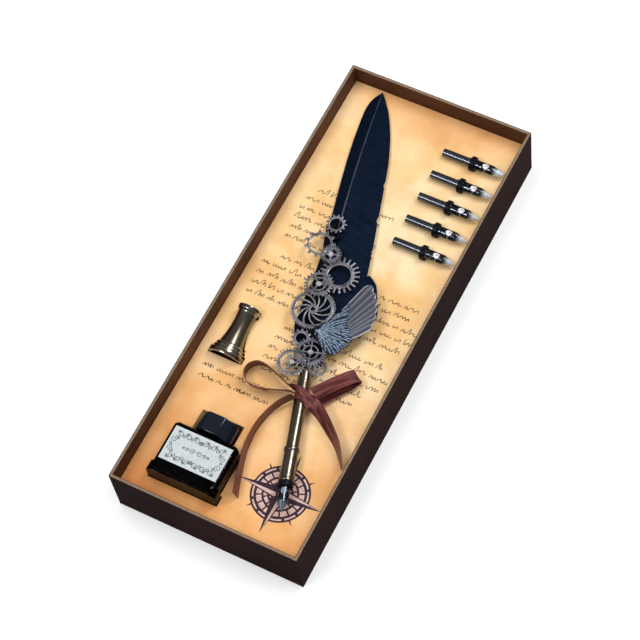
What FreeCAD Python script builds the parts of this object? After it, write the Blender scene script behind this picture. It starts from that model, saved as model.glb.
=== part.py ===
import FreeCAD, Part
import math
import os
import re

import Sketcher
from FreeCAD import Placement, Rotation, Vector

# Quill pen gift box: a shallow tray with a feather dip pen, five spare nibs, a pen stand and an ink bottle.
# Millimetres and degrees. The origin is the middle of the tray's underside, +X runs across the tray,
# +Y along it to the feather's end and +Z up.

SIZES = {
    # Tray
    "board": 1.4,
    "paper": 0.3,
    "card": 0.5,
    "foam_thickness": 23.3,
    "bed_depth": 13.0,
    "bed_gap": 0.3,
    "corner_radius": 0.6,
    # Places in the tray
    "nib_end_gap": 23.1,
    "feather_end_gap": 2.3,
    "feather_side_gap": 10.0,
    "bottle_side_gap": 13.5,
    "bottle_end_gap": 12.0,
    "bottle_pen_gap": 30.2,
    "bottle_top_gap": 0.3,
    "pen_side_gap": 27.3,
    "pen_tilt": 18.5,
    "pen_pitch": 0.9,
    "pen_clearance": 0.25,
    "stand_side_gap": 6.4,
    "stand_bottle_gap": 34.7,
    "stand_sink": 1.0,
    "stand_tilt": 9.0,
    "nib_side_gap": 3.5,
    "first_nib_gap": 26.2,
    "nib_pitch": 16.6,
    "nib_clearance": 0.15,
    "pocket_gap": 0.35,
    # Pen barrel, from its mouth up
    "end_ring_length": 2.2,
    "end_ring_radius": 4.6,
    "grip_length": 16.4,
    "grip_radius": 4.35,
    "grip_top_radius": 4.1,
    "ring_length": 2.6,
    "ring_radius": 4.6,
    "ring_rounding": 0.7,
    "barrel_length": 50.8,
    "barrel_radius": 3.8,
    "nib_fit": 0.06,
    "quill_fit": 0.05,
    "vane_fit": 0.02,
    # Feather
    "socket_depth": 14.0,
    "quill_radius": 1.6,
    "quill_tip_radius": 0.4,
    "feather_length": 191.0,
    "feather_bow": 16.0,
    "vane_thickness": 0.6,
    "vane_left_width": 6.5,
    "vane_right_width": 22.5,
    "backing_length": 58.0,
    "backing_width": 34.0,
    "backing_gap": 0.4,
    "backing_start": 2.9,
    # Ornament on the feather
    "carrier_gap": 0.1,
    "spine_width": 5.0,
    "arm_width": 3.4,
    "arm_end": 1.8,
    "eyelet_radius": 2.8,
    "eyelet_hole": 1.4,
    "gear_thickness": 1.0,
    "rivet_radius": 0.8,
    "rivet_head_radius": 1.5,
    "rivet_head_height": 0.6,
    "hub_wall": 0.85,
    "spoke_width": 0.8,
    "left_radius": 9.2,
    "left_tooth": 1.3,
    "left_rim": 1.5,
    "left_teeth": 28,
    "left_band_radius": 4.1,
    "left_reach": 8.45,
    "left_rise": 0.7,
    "right_radius": 5.8,
    "right_tooth": 0.9,
    "right_rim": 1.0,
    "right_teeth": 28,
    "right_angle": -7.5,
    "right_gap": 0.35,
    "pinion_radius": 5.9,
    "pinion_tooth": 1.3,
    "pinion_rim": 1.4,
    "pinion_teeth": 12,
    "pinion_angle": 79.2,
    "pinion_gap": 1.0,
    "spiral_radius": 13.2,
    "spiral_tooth": 1.2,
    "spiral_rim": 1.5,
    "spiral_teeth": 56,
    "spiral_arms": 11,
    "spiral_sweep": 58.0,
    "spiral_arm_width": 0.8,
    "spiral_hub": 2.8,
    "spiral_angle": 79.2,
    "spiral_gap": 0.7,
    "rake_radius": 12.0,
    "rake_tooth": 3.3,
    "rake_rim": 1.9,
    "rake_teeth": 22,
    "rake_angle": 63.4,
    "rake_gap": 1.2,
    "sprocket_radius": 9.4,
    "sprocket_tooth": 2.0,
    "sprocket_rim": 1.2,
    "sprocket_teeth": 11,
    "sprocket_angle": 126.3,
    "sprocket_gap": 3.4,
    "crown_radius": 6.2,
    "crown_tooth": 1.3,
    "crown_rim": 1.1,
    "crown_teeth": 13,
    "crown_angle": 62.1,
    "crown_gap": 0.3,
    "hub_radius": 9.6,
    "hub_tooth": 1.5,
    "hub_rim": 1.3,
    "hub_teeth": 32,
    "hub_band_radius": 4.7,
    "hub_angle": 34.2,
    "hub_offset": 2.9,
    "dial_radius": 8.7,
    "dial_tooth": 1.3,
    "dial_rim": 1.3,
    "dial_teeth": 22,
    "dial_band_radius": 4.6,
    "dial_angle": 86.8,
    "dial_offset": 3.0,
    "cross_radius": 6.3,
    "cross_tooth": 1.4,
    "cross_rim": 1.2,
    "cross_teeth": 26,
    "cross_angle": -42.7,
    "cross_offset": 1.1,
    "band_width": 0.7,
    "wing_clearance": 0.1,
    "wing_root_u": 2.8,
    "wing_root_gap": 4.2,
    "wing_root_radius": 4.6,
    "wing_post_radius": 1.8,
    "wing_long": 44.5,
    "wing_short": 15.0,
    "wing_feathers": 11,
    "wing_feather_width": 5.0,
    "wing_fan_start": 53.0,
    "wing_fan_end": -42.0,
    "wing_layer": 0.7,
    # Ribbon
    "ribbon_width": 9.0,
    "ribbon_thickness": 0.4,
    "ribbon_place": 54.0,
    "ribbon_fit": 0.05,
    "knot_width": 8.4,
    "knot_length": 7.0,
    "knot_height": 1.2,
    # Nibs
    "shank_radius": 2.55,
    "shank_wall": 0.7,
    "shank_length": 18.0,
    "flange_radius": 3.1,
    "flange_length": 1.2,
    "collar_radius": 4.5,
    "collar_length": 3.0,
    "collar_rounding": 0.4,
    "stub_radius": 2.8,
    "stub_length": 4.0,
    "blade_thickness": 0.4,
    "blade_wrap": 80.0,
    "blade_length": 18.0,
    "blade_shoulder": 11.0,
    "pen_blade_length": 14.0,
    "fine_tip_width": 0.9,
    "medium_tip_width": 1.7,
    "broad_tip_width": 2.8,
    "breather_radius": 0.55,
    "slit_width": 0.25,
    # Pen stand
    "stand_height": 33.0,
    "stand_foot_radius": 10.9,
    "stand_foot_height": 2.8,
    "stand_foot_rim": 2.2,
    "stand_hollow_depth": 1.6,
    "stand_step_radius": 9.7,
    "stand_step_height": 2.2,
    "stand_bead_radius": 8.9,
    "stand_bead_height": 2.2,
    "stand_flare_radius": 8.0,
    "stand_waist_radius": 5.9,
    "stand_lip_radius": 6.95,
    "stand_lip_height": 3.6,
    "stand_lip_flare": 1.3,
    "stand_curve_sag": 1.1,
    "stand_bore_radius": 4.9,
    "stand_bore_depth": 22.0,
    # Ink bottle
    "bottle_width": 41.0,
    "bottle_depth": 24.0,
    "bottle_height": 33.0,
    "bottle_corner": 3.0,
    "foot_width": 44.0,
    "foot_depth": 26.0,
    "foot_height": 6.0,
    "foot_corner": 5.0,
    "shoulder": 1.6,
    "glass_wall": 2.2,
    "glass_floor": 3.0,
    "neck_radius": 8.0,
    "neck_wall": 1.6,
    "label_width": 36.4,
    "label_rise": 8.6,
    "label_top_gap": 3.0,
    "label_thickness": 0.15,
    "cap_gap": 1.0,
    "cap_radius": 13.0,
    "cap_length": 11.8,
    "cap_top": 2.0,
    "cap_fit": 0.3,
    "cap_facets": 8,
    "cap_facet_cut": 0.9,
    "cap_travel": 3.0,
    "liner_thickness": 1.0,
    "liner_gap": 0.05,
}

doc = FreeCAD.newDocument("QuillPenGiftBox")
sheet = doc.addObject("Spreadsheet::Sheet", "Sizes")
for row, (name, amount) in enumerate(SIZES.items(), start=1):
    sheet.set(f"A{row}", name)
    sheet.set(f"B{row}", str(amount))
    sheet.setAlias(f"B{row}", name)
doc.recompute()

sub_parts = []


# Helpers

def bound(text):
    """Return a formula with each size's name pointing at its cell."""
    return re.sub(r"[a-z][a-z_0-9]*", lambda word: "Sizes." + word[0] if word[0] in SIZES else word[0], text)


def value(text):
    """Work a formula out as a number."""
    return float(sheet.evalExpression(bound(text)))


def keep(thing, label):
    thing.Label = label
    sub_parts.append(thing)
    return thing


def board_box(label, lengths, corner):
    """A board: three edge lengths and the place of its lowest corner, all formulas."""
    box = keep(doc.addObject("Part::Box", label), label)
    for edge, text in zip(("Length", "Width", "Height"), lengths):
        box.setExpression(edge, bound(text))
    for axis, text in zip("xyz", corner):
        box.setExpression(f"Placement.Base.{axis}", bound(text))
    return box


def free_form(label, shape, placement):
    thing = keep(doc.addObject("Part::Feature", label), label)
    thing.Shape = shape
    thing.Placement = placement
    return thing


def new_body(label):
    return keep(doc.addObject("PartDesign::Body", label), label)


def new_sketch(body, role="XY_Plane", level="0"):
    """A sketch on one of the body's own planes, lifted along its normal by a formula."""
    sketch = body.newObject("Sketcher::SketchObject", "Sketch")
    plane = next(part for part in body.Origin.OriginFeatures if part.Role == role)
    sketch.AttachmentSupport = [(plane, "")]
    sketch.MapMode = "FlatFace"
    if level != "0":
        sketch.setExpression("AttachmentOffset.Base.z", bound(level))
    return sketch


def bind(sketch, constraint, text):
    """Add a constraint whose amount follows a formula."""
    index = sketch.addConstraint(constraint)
    sketch.renameConstraint(index, f"size{index}")
    sketch.setExpression(f"Constraints.size{index}", bound(text))


def pin(sketch, geometry, point, corner):
    """Hold one point of a sketch at two formulas, measured from the sketch's origin."""
    for kind, text in zip(("DistanceX", "DistanceY"), corner):
        bind(sketch, Sketcher.Constraint(kind, -1, 1, geometry, point, value(text)), text)


def circle(sketch, radius, centre=("0", "0")):
    middle = Vector(value(centre[0]), value(centre[1]), 0)
    geometry = sketch.addGeometry(Part.Circle(middle, Vector(0, 0, 1), value(radius)), False)
    pin(sketch, geometry, 3, centre)
    bind(sketch, Sketcher.Constraint("Radius", geometry, value(radius)), radius)


def arc_between(start, end, radius, turn):
    """The short arc from start to end. A turn of 1 is counter-clockwise, and -1 is clockwise."""
    chord = end - start
    across = Vector(-chord.y, chord.x, 0).normalize() * turn
    middle = (start + end) * 0.5 + across * math.sqrt(max(radius ** 2 - (chord.Length / 2) ** 2, 0))
    first, last = (start, end) if turn > 0 else (end, start)
    angles = [math.atan2(point.y - middle.y, point.x - middle.x) for point in (first, last)]
    return Part.ArcOfCircle(Part.Circle(middle, Vector(0, 0, 1), radius), *angles)


def outline(sketch, corners, arcs=None):
    """Close an outline through corners given as formulas. Sides named in arcs get a radius and a turn."""
    arcs = arcs or {}
    points = [Vector(value(x), value(y), 0) for x, y in corners]
    ends = []
    for side, start in enumerate(points):
        end = points[(side + 1) % len(points)]
        if side in arcs:
            radius, turn = arcs[side]
            geometry = sketch.addGeometry(arc_between(start, end, value(radius), turn), False)
            ends.append((geometry, 1, 2) if turn > 0 else (geometry, 2, 1))
        else:
            geometry = sketch.addGeometry(Part.LineSegment(start, end), False)
            ends.append((geometry, 1, 2))
    for side, (geometry, _, last) in enumerate(ends):
        following, first, _ = ends[(side + 1) % len(ends)]
        sketch.addConstraint(Sketcher.Constraint("Coincident", geometry, last, following, first))
    for (geometry, first, _), corner in zip(ends, corners):
        pin(sketch, geometry, first, corner)
    for side, (radius, _) in arcs.items():
        geometry = ends[side][0]
        bind(sketch, Sketcher.Constraint("Radius", geometry, value(radius)), radius)


def rectangle(sketch, width, depth):
    """A rectangle about the sketch's origin."""
    half_x, half_y = f"({width})/2", f"({depth})/2"
    outline(sketch, [
        (f"-{half_x}", f"-{half_y}"), (half_x, f"-{half_y}"),
        (half_x, half_y), (f"-{half_x}", half_y),
    ])


def rounded_rectangle(sketch, width, depth, radius):
    """A rectangle about the sketch's origin with round corners."""
    x, y = f"({width})/2", f"({depth})/2"
    short_x, short_y = f"({x} - {radius})", f"({y} - {radius})"
    corners = [
        (f"-{short_x}", f"-({y})"), (short_x, f"-({y})"), (x, f"-{short_y}"), (x, short_y),
        (short_x, y), (f"-{short_x}", y), (f"-({x})", short_y), (f"-({x})", f"-{short_y}"),
    ]
    outline(sketch, corners, {side: (radius, 1) for side in (1, 3, 5, 7)})


def pad(body, sketch, length):
    feature = body.newObject("PartDesign::Pad", "Pad")
    feature.Profile = sketch
    feature.setExpression("Length", bound(length))
    body.Tip = feature
    return feature


def pocket(body, sketch, length, upwards=False):
    """Cut below the sketch's plane, or above it."""
    feature = body.newObject("PartDesign::Pocket", "Pocket")
    feature.Profile = sketch
    feature.Reversed = upwards
    feature.setExpression("Length", bound(length))
    body.Tip = feature
    return feature


def revolve(body, sketch, axis="V_Axis"):
    feature = body.newObject("PartDesign::Revolution", "Revolution")
    feature.Profile = sketch
    feature.ReferenceAxis = (sketch, [axis])
    feature.Angle = 360
    body.Tip = feature
    return feature


def pattern(body, feature, sketch, count):
    """Repeat a feature round its sketch's origin."""
    repeat = body.newObject("PartDesign::PolarPattern", "Pattern")
    repeat.Originals = [feature]
    repeat.Axis = (sketch, ["N_Axis"])
    repeat.Angle = 360
    repeat.setExpression("Occurrences", bound(count))
    body.Tip = repeat
    return repeat


def dress(body, kind, feature, wanted, size):
    """Round or bevel the edges of a feature that pass a test."""
    doc.recompute()
    names = [f"Edge{index}" for index, edge in enumerate(feature.Shape.Edges, start=1) if wanted(edge)]
    dressing = body.newObject(f"PartDesign::{kind}", kind)
    dressing.Base = (feature, names)
    dressing.setExpression("Radius" if kind == "Fillet" else "Size", bound(size))
    body.Tip = dressing
    return dressing


def is_rim(radius):
    """A test for the full circles of one radius."""
    amount = value(radius)
    return lambda edge: isinstance(edge.Curve, Part.Circle) and abs(edge.Curve.Radius - amount) < 1e-6


# Derived places, as formulas of the sizes

FLOOR_TOP = "(paper + board)"
FOAM_TOP = f"({FLOOR_TOP} + foam_thickness)"
BED_TOP = f"({FOAM_TOP} + card)"
TRAY_HEIGHT = f"({BED_TOP} + bed_depth)"

BARREL_START = "(end_ring_length + grip_length + ring_length)"
BARREL_TOP = f"({BARREL_START} + barrel_length)"
BAND_INNER = "(barrel_radius + ribbon_fit)"
BAND_RADIUS = f"({BAND_INNER} + ribbon_thickness)"
PEN_REACH = "(collar_length + pen_blade_length)"
FEATHER_END = f"({BARREL_TOP} + feather_length)"

PEN_SPAN = f"(({PEN_REACH} + {FEATHER_END})*cos(pen_tilt) + feather_bow*sin(pen_tilt))"
INNER_LENGTH = f"(nib_end_gap + {PEN_SPAN} + feather_end_gap)"
BOTTLE_NEED = "bottle_side_gap + foot_width + bottle_pen_gap"
FEATHER_NEED = (
    f"{FEATHER_END}*sin(pen_tilt) - feather_bow*cos(pen_tilt) + vane_left_width + feather_side_gap"
)
LEFT_OF_PEN = f"max({BOTTLE_NEED}; {FEATHER_NEED})"
INNER_WIDTH = f"({LEFT_OF_PEN} + pen_side_gap)"
CORE_LENGTH = f"({INNER_LENGTH} + 2*(paper + board))"
CORE_WIDTH = f"({INNER_WIDTH} + 2*(paper + board))"
OUTER_LENGTH = f"({CORE_LENGTH} + 2*paper)"
OUTER_WIDTH = f"({CORE_WIDTH} + 2*paper)"

MOUTH_X = f"({LEFT_OF_PEN} - {INNER_WIDTH}/2)"
MOUTH_Y = f"(nib_end_gap + {PEN_REACH}*cos(pen_tilt) - {INNER_LENGTH}/2)"
RING_REST = f"ring_radius + {BARREL_START}*tan(pen_pitch)"
BARREL_REST = f"barrel_radius + {BARREL_TOP}*tan(pen_pitch)"
KNOT_REST = f"{BAND_RADIUS} + (ribbon_place + ribbon_width/2)*tan(pen_pitch)"
PEN_AXIS = f"({BED_TOP} + max({RING_REST}; {BARREL_REST}; {KNOT_REST}; collar_radius) + pen_clearance)"

BOTTLE_X = f"(bottle_side_gap + foot_width/2 - {INNER_WIDTH}/2)"
BOTTLE_Y = f"(bottle_end_gap - {INNER_LENGTH}/2)"
BOTTLE_HALF = "max(foot_depth/2; cap_radius)"
BOTTLE_AXIS = f"({TRAY_HEIGHT} - bottle_top_gap - {BOTTLE_HALF})"
CAP_START = "(bottle_height + cap_gap)"
CAP_END = f"({CAP_START} + cap_length)"
LINER_BASE = f"({CAP_END} - cap_top - liner_gap - liner_thickness)"
NECK_TOP = f"({LINER_BASE} - liner_gap)"
NECK_BORE = "(neck_radius - neck_wall)"

STAND_X = f"(stand_side_gap + stand_foot_radius - {INNER_WIDTH}/2)"
STAND_Y = f"({BOTTLE_Y} + {CAP_END} + cap_travel + stand_bottle_gap)"
STAND_AXIS = f"({BED_TOP} - stand_sink)"
STAND_STEP_TOP = "(stand_foot_height + stand_step_height)"
STAND_BEAD_TOP = f"({STAND_STEP_TOP} + stand_bead_height)"
STAND_LIP_START = "(stand_height - stand_lip_height)"

NIB_X = f"({INNER_WIDTH}/2 - nib_side_gap - blade_length - collar_length/2)"
NIB_AXIS = f"({BED_TOP} + max(stub_radius; flange_radius) + nib_clearance)"
SPARE_NIBS = 5

GEAR_BASE = "(barrel_radius + carrier_gap)"
CARRIER_BASE = "(quill_radius + carrier_gap)"
UPPER_GEAR_BASE = f"({GEAR_BASE} + gear_thickness)"
WING_BASE = f"({UPPER_GEAR_BASE} + gear_thickness + wing_clearance)"

PEN_FRAME = Placement(
    Vector(value(MOUTH_X), value(MOUTH_Y), value(PEN_AXIS)),
    Rotation(Vector(0, 0, 1), value("pen_tilt")) * Rotation(Vector(1, 0, 0), -value("pen_pitch")),
)


def on_pen(u="0", v="0", height="0"):
    """A place on the pen: u to its right, v from its mouth to the feather, height from its axis."""
    return PEN_FRAME * Placement(Vector(value(u), value(v), value(height)), Rotation())


# Tray

def spare_nib_y(index):
    return f"({INNER_LENGTH}/2 - first_nib_gap - {index}*nib_pitch)"


def mirrored_outline(x, y, half_widths):
    """Corners of an outline even about the line x, from pairs of half width and height above y."""
    right = [(f"{x} + {half}", f"{y} + {height}") for half, height in half_widths]
    left = [(f"{x} - ({half})", f"{y} + {height}") for half, height in reversed(half_widths)]
    return right + left


def bottle_pocket():
    foot = "(foot_width/2 + pocket_gap)"
    body = "(bottle_width/2 + pocket_gap)"
    cap = "(cap_radius + pocket_gap)"
    return mirrored_outline(BOTTLE_X, BOTTLE_Y, [
        (foot, "(-pocket_gap)"),
        (foot, "(foot_height + pocket_gap)"),
        (body, "(foot_height + pocket_gap)"),
        (body, "(bottle_height + pocket_gap)"),
        (cap, "(bottle_height + pocket_gap)"),
        (cap, f"({CAP_END} + cap_travel + pocket_gap)"),
    ])


def stand_half_width(radius, along):
    """Half the width that a round of the stand has at the card, from how far along its axis it lies."""
    rise = f"({along}*sin(stand_tilt) - stand_sink)"
    return f"(sqrt(max(0; {radius}^2 - {rise}^2)) + pocket_gap)"


def stand_curve(wide, narrow, start, end):
    """Radius of the hollow curve of the neck, between two half widths."""
    chord = f"sqrt(({wide} - {narrow})^2 + ({end} - {start})^2)"
    return f"({chord}^2/(8*stand_curve_sag) + stand_curve_sag/2)"


def stand_pocket():
    """The foot lies lower than the lip, so each step of the foot leans under the next one."""
    foot_end = "(stand_foot_height + stand_foot_radius*sin(stand_tilt))"
    step_end = f"({STAND_STEP_TOP} + stand_step_radius*sin(stand_tilt))"
    bead_end = f"({STAND_BEAD_TOP} + stand_bead_radius*sin(stand_tilt))"
    flare = "(stand_flare_radius + pocket_gap)"
    waist = stand_half_width("stand_waist_radius", STAND_LIP_START)
    lip = stand_half_width("stand_lip_radius", STAND_LIP_START)
    lip_start = f"({STAND_LIP_START}*cos(stand_tilt) - pocket_gap)"
    corners = mirrored_outline(STAND_X, STAND_Y, [
        ("(stand_foot_radius + pocket_gap)", "(-stand_sink*tan(stand_tilt) - pocket_gap)"),
        ("(stand_foot_radius + pocket_gap)", foot_end),
        ("(stand_step_radius + pocket_gap)", foot_end),
        ("(stand_step_radius + pocket_gap)", step_end),
        ("(stand_bead_radius + pocket_gap)", step_end),
        ("(stand_bead_radius + pocket_gap)", bead_end),
        (flare, bead_end),
        (waist, lip_start),
        (lip, lip_start),
        (lip, "(stand_height*cos(stand_tilt) + stand_lip_radius*sin(stand_tilt) + pocket_gap)"),
    ])
    curve = (stand_curve(flare, waist, bead_end, lip_start), -1)
    return corners, {6: curve, 12: curve}


def collar_slot(index):
    half = "(collar_length/2 + pocket_gap)"
    rise = f"({NIB_AXIS} - {BED_TOP})"
    reach = f"(sqrt(max(0; collar_radius^2 - {rise}^2)) + pocket_gap)"
    y = spare_nib_y(index)
    return [
        (f"{NIB_X} - {half}", f"{y} - {reach}"),
        (f"{NIB_X} + {half}", f"{y} - {reach}"),
        (f"{NIB_X} + {half}", f"{y} + {reach}"),
        (f"{NIB_X} - {half}", f"{y} + {reach}"),
    ]


def tray_pockets():
    """Each pocket of the bed: its outline, the sides of it that are arcs, and the height of its floor."""
    stand_corners, stand_arcs = stand_pocket()
    pockets = [
        (bottle_pocket(), {}, f"({BOTTLE_AXIS} - {BOTTLE_HALF} - pocket_gap)"),
        (stand_corners, stand_arcs, f"({STAND_AXIS} - stand_foot_radius - pocket_gap)"),
    ]
    slot_floor = f"({NIB_AXIS} - collar_radius - pocket_gap)"
    return pockets + [(collar_slot(index), {}, slot_floor) for index in range(SPARE_NIBS)]


def bed_layer(label, base, thickness, through):
    """The foam bed or its card: a sheet inside the lining, with the pockets cut from its top."""
    body = new_body(label)
    sheet_outline = new_sketch(body, level=base)
    rectangle(sheet_outline, f"{INNER_WIDTH} - 2*bed_gap", f"{INNER_LENGTH} - 2*bed_gap")
    pad(body, sheet_outline, thickness)
    top = f"({base} + {thickness})"
    for corners, arcs, floor in tray_pockets():
        cut = new_sketch(body, level=top)
        outline(cut, corners, arcs)
        pocket(body, cut, thickness if through else f"{top} - {floor}")
    return body


def skin(label, length, width, base, inset):
    """A paper skin: an upright ring of the given outer size, one paper thick."""
    body = new_body(label)
    outer = new_sketch(body, level=base)
    if inset:
        rectangle(outer, width, length)
    else:
        rounded_rectangle(outer, width, length, "corner_radius")
    pad(body, outer, f"{TRAY_HEIGHT} - {base}")
    inner = new_sketch(body, level=TRAY_HEIGHT)
    rectangle(inner, f"{width} - 2*paper", f"{length} - 2*paper")
    pocket(body, inner, f"{TRAY_HEIGHT} - {base}")
    return body


def tray():
    outer_corner = (f"-{OUTER_WIDTH}/2", f"-{OUTER_LENGTH}/2", "0")
    core_corner = (f"-{CORE_WIDTH}/2", f"-{CORE_LENGTH}/2", "paper")
    board_box("base_paper", (OUTER_WIDTH, OUTER_LENGTH, "paper"), outer_corner)
    board_box("base_board", (CORE_WIDTH, CORE_LENGTH, "board"), core_corner)
    rise = f"{TRAY_HEIGHT} - {FLOOR_TOP}"
    side = ("board", CORE_LENGTH, rise)
    board_box("wall_left", side, (f"-{CORE_WIDTH}/2", f"-{CORE_LENGTH}/2", FLOOR_TOP))
    board_box("wall_right", side, (f"{CORE_WIDTH}/2 - board", f"-{CORE_LENGTH}/2", FLOOR_TOP))
    between = f"({CORE_WIDTH} - 2*board)"
    end = (between, "board", rise)
    board_box("wall_near", end, (f"-{between}/2", f"-{CORE_LENGTH}/2", FLOOR_TOP))
    board_box("wall_far", end, (f"-{between}/2", f"{CORE_LENGTH}/2 - board", FLOOR_TOP))
    skin("wrap_paper", OUTER_LENGTH, OUTER_WIDTH, "paper", False)
    skin("lining_paper", f"({INNER_LENGTH} + 2*paper)", f"({INNER_WIDTH} + 2*paper)", FLOOR_TOP, True)
    bed_layer("foam_bed", FLOOR_TOP, "foam_thickness", False)
    bed_layer("parchment_card", FOAM_TOP, "card", True)


# Pen barrel

def barrel_piece(label, profile):
    """A piece turned about the pen's axis, from corners of radius and place along the axis."""
    body = new_body(label)
    sketch = new_sketch(body)
    outline(sketch, profile)
    turned = revolve(body, sketch)
    body.Placement = PEN_FRAME
    return body, turned


def barrel():
    bore = "(shank_radius + nib_fit)"
    seat = "(flange_radius + nib_fit)"
    seat_depth = "(flange_length + nib_fit)"
    grip_start = "end_ring_length"
    grip_end = "(end_ring_length + grip_length)"
    end_ring, turned = barrel_piece("grip_end_ring", [
        (seat, "0"), ("end_ring_radius", "0"), ("end_ring_radius", grip_start), (bore, grip_start),
        (bore, seat_depth), (seat, seat_depth),
    ])
    dress(end_ring, "Fillet", turned, is_rim("end_ring_radius"), "min(ring_rounding; end_ring_length/3)")
    barrel_piece("grip_sleeve", [
        (bore, grip_start), ("grip_radius", grip_start), ("grip_top_radius", grip_end), (bore, grip_end),
    ])
    ring, turned = barrel_piece("barrel_ring", [
        (bore, grip_end), ("ring_radius", grip_end), ("ring_radius", BARREL_START), (bore, BARREL_START),
    ])
    dress(ring, "Fillet", turned, is_rim("ring_radius"), "min(ring_rounding; ring_length/3)")
    bore_end = f"max({BARREL_START}; shank_length) + 2*nib_fit + shank_wall"
    socket = "(quill_radius + quill_fit)"
    socket_base = f"({BARREL_TOP} - socket_depth)"
    barrel_piece("barrel_tube", [
        (bore, BARREL_START), ("barrel_radius", BARREL_START), ("barrel_radius", BARREL_TOP),
        (socket, BARREL_TOP), (socket, socket_base), ("0", socket_base), ("0", bore_end), (bore, bore_end),
    ])


# Feather

LEFT_VANE = [
    (0.03, 0.3), (0.12, 1.5), (0.19, 1.45), (0.3, 0.95), (0.42, 0.7), (0.58, 0.82), (0.75, 1.0),
    (0.86, 1.02), (0.93, 0.95), (0.97, 0.62), (1.0, 0.0),
]
RIGHT_VANE = [
    (0.03, 0.2), (0.15, 0.72), (0.28, 0.97), (0.4, 1.0), (0.55, 0.93), (0.66, 0.86), (0.75, 0.78),
    (0.84, 0.62), (0.92, 0.39), (0.97, 0.17), (1.0, 0.0),
]
BACKING_FEATHER = [
    (0.05, 0.0), (0.24, 0.07), (0.52, 0.25), (0.66, 0.33), (0.85, 0.41), (0.96, 0.49), (0.97, 0.6),
    (0.91, 0.8), (0.86, 0.91), (0.78, 1.0), (0.62, 0.98), (0.3, 0.78), (0.0, 0.5),
]
QUILL_STEPS = 24


def quill_point(share):
    """The middle of the quill at a share of the feather's length, and the way to its right."""
    length, bow = value("feather_length"), value("feather_bow")
    place = Vector(bow * share ** 2, value(BARREL_TOP) + length * share, 0)
    return place, Vector(length, -2 * bow * share, 0).normalize()


def quill_radius_at(share):
    return value("quill_radius") + (value("quill_tip_radius") - value("quill_radius")) * share


def feather_quill():
    radius = value("quill_radius")
    along = Vector(0, 1, 0)
    foot = Vector(0, value(f"{BARREL_TOP} - socket_depth + quill_fit"), 0)
    sections = [Part.Wire(Part.makeCircle(radius, foot, along))]
    for step in range(QUILL_STEPS + 1):
        share = step / QUILL_STEPS
        place, right = quill_point(share)
        along = Vector(-right.y, right.x, 0)
        sections.append(Part.Wire(Part.makeCircle(quill_radius_at(share), place, along)))
    free_form("feather_quill", Part.makeLoft(sections, True, True), PEN_FRAME)


def vane(label, shape, width, side):
    """One vane of the feather: a thin sheet between the quill's side and a smooth outer edge."""
    inner, outer = [], []
    for share, breadth in shape:
        place, right = quill_point(share)
        root = place + right * side * (quill_radius_at(share) + value("vane_fit"))
        inner.append(root)
        outer.append(root + right * side * value(width) * breadth)
    edges = []
    for points in (inner, outer):
        curve = Part.BSplineCurve()
        curve.interpolate(points)
        edges.append(curve.toShape())
    edges.append(Part.LineSegment(inner[0], outer[0]).toShape())
    face = Part.Face(Part.Wire(Part.__sortEdges__(edges)))
    thickness = value("vane_thickness")
    face.translate(Vector(0, 0, -thickness / 2))
    free_form(label, face.extrude(Vector(0, 0, thickness)), PEN_FRAME)


def backing_feather():
    """A shorter feather glued under the right vane, behind the wing."""
    start_u = value("quill_radius + backing_gap")
    start_v = value(f"{BARREL_TOP} + backing_start + hub_offset")
    points = []
    for across, along in BACKING_FEATHER:
        u = start_u + across * value("backing_width")
        v = start_v + along * value("backing_length")
        points.append(Vector(u, v, 0))
    curve = Part.BSplineCurve()
    curve.interpolate(points)
    edges = [curve.toShape(), Part.LineSegment(points[-1], points[0]).toShape()]
    face = Part.Face(Part.Wire(edges))
    thickness = value("vane_thickness")
    face.translate(Vector(0, 0, -1.5 * thickness))
    free_form("backing_feather", face.extrude(Vector(0, 0, thickness)), PEN_FRAME)


def feather():
    feather_quill()
    vane("feather_vane_left", LEFT_VANE, "vane_left_width", -1)
    vane("feather_vane_right", RIGHT_VANE, "vane_right_width", 1)
    backing_feather()


# Gears

def beyond(centre, angle, distance):
    """A centre at a distance and direction from another one, as formulas."""
    return f"({centre[0]} + ({distance})*cos({angle}))", f"({centre[1]} + ({distance})*sin({angle}))"


LEFT_CENTRE = ("(-left_reach)", f"({BARREL_TOP} + left_rise)")
RIGHT_CENTRE = beyond(LEFT_CENTRE, "right_angle", "left_radius + right_radius + right_gap")
PINION_CENTRE = beyond(LEFT_CENTRE, "pinion_angle", "left_radius + pinion_radius + pinion_gap")
SPIRAL_CENTRE = beyond(PINION_CENTRE, "spiral_angle", "pinion_radius + spiral_radius + spiral_gap")
RAKE_CENTRE = beyond(SPIRAL_CENTRE, "rake_angle", "spiral_radius + rake_radius + rake_gap")
SPROCKET_CENTRE = beyond(RAKE_CENTRE, "sprocket_angle", "rake_radius + sprocket_radius + sprocket_gap")
CROWN_CENTRE = beyond(SPROCKET_CENTRE, "crown_angle", "sprocket_radius + crown_radius + crown_gap")
HUB_CENTRE = beyond(LEFT_CENTRE, "hub_angle", "left_radius + hub_offset")
DIAL_CENTRE = beyond(SPIRAL_CENTRE, "dial_angle", "spiral_radius + dial_offset")
CROSS_CENTRE = beyond(SPROCKET_CENTRE, "cross_angle", "sprocket_radius + cross_offset")


def gear_rim(size, centre, height):
    """The plain rim of a gear, on the pen."""
    body = new_body(f"{size}_gear")
    sketch = new_sketch(body)
    circle(sketch, f"{size}_radius - {size}_tooth")
    circle(sketch, f"{size}_radius - {size}_tooth - {size}_rim")
    pad(body, sketch, "gear_thickness")
    body.Placement = on_pen(centre[0], centre[1], height)
    return body


def rim_middle(size):
    return f"({size}_radius - {size}_tooth - {size}_rim/2)"


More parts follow.
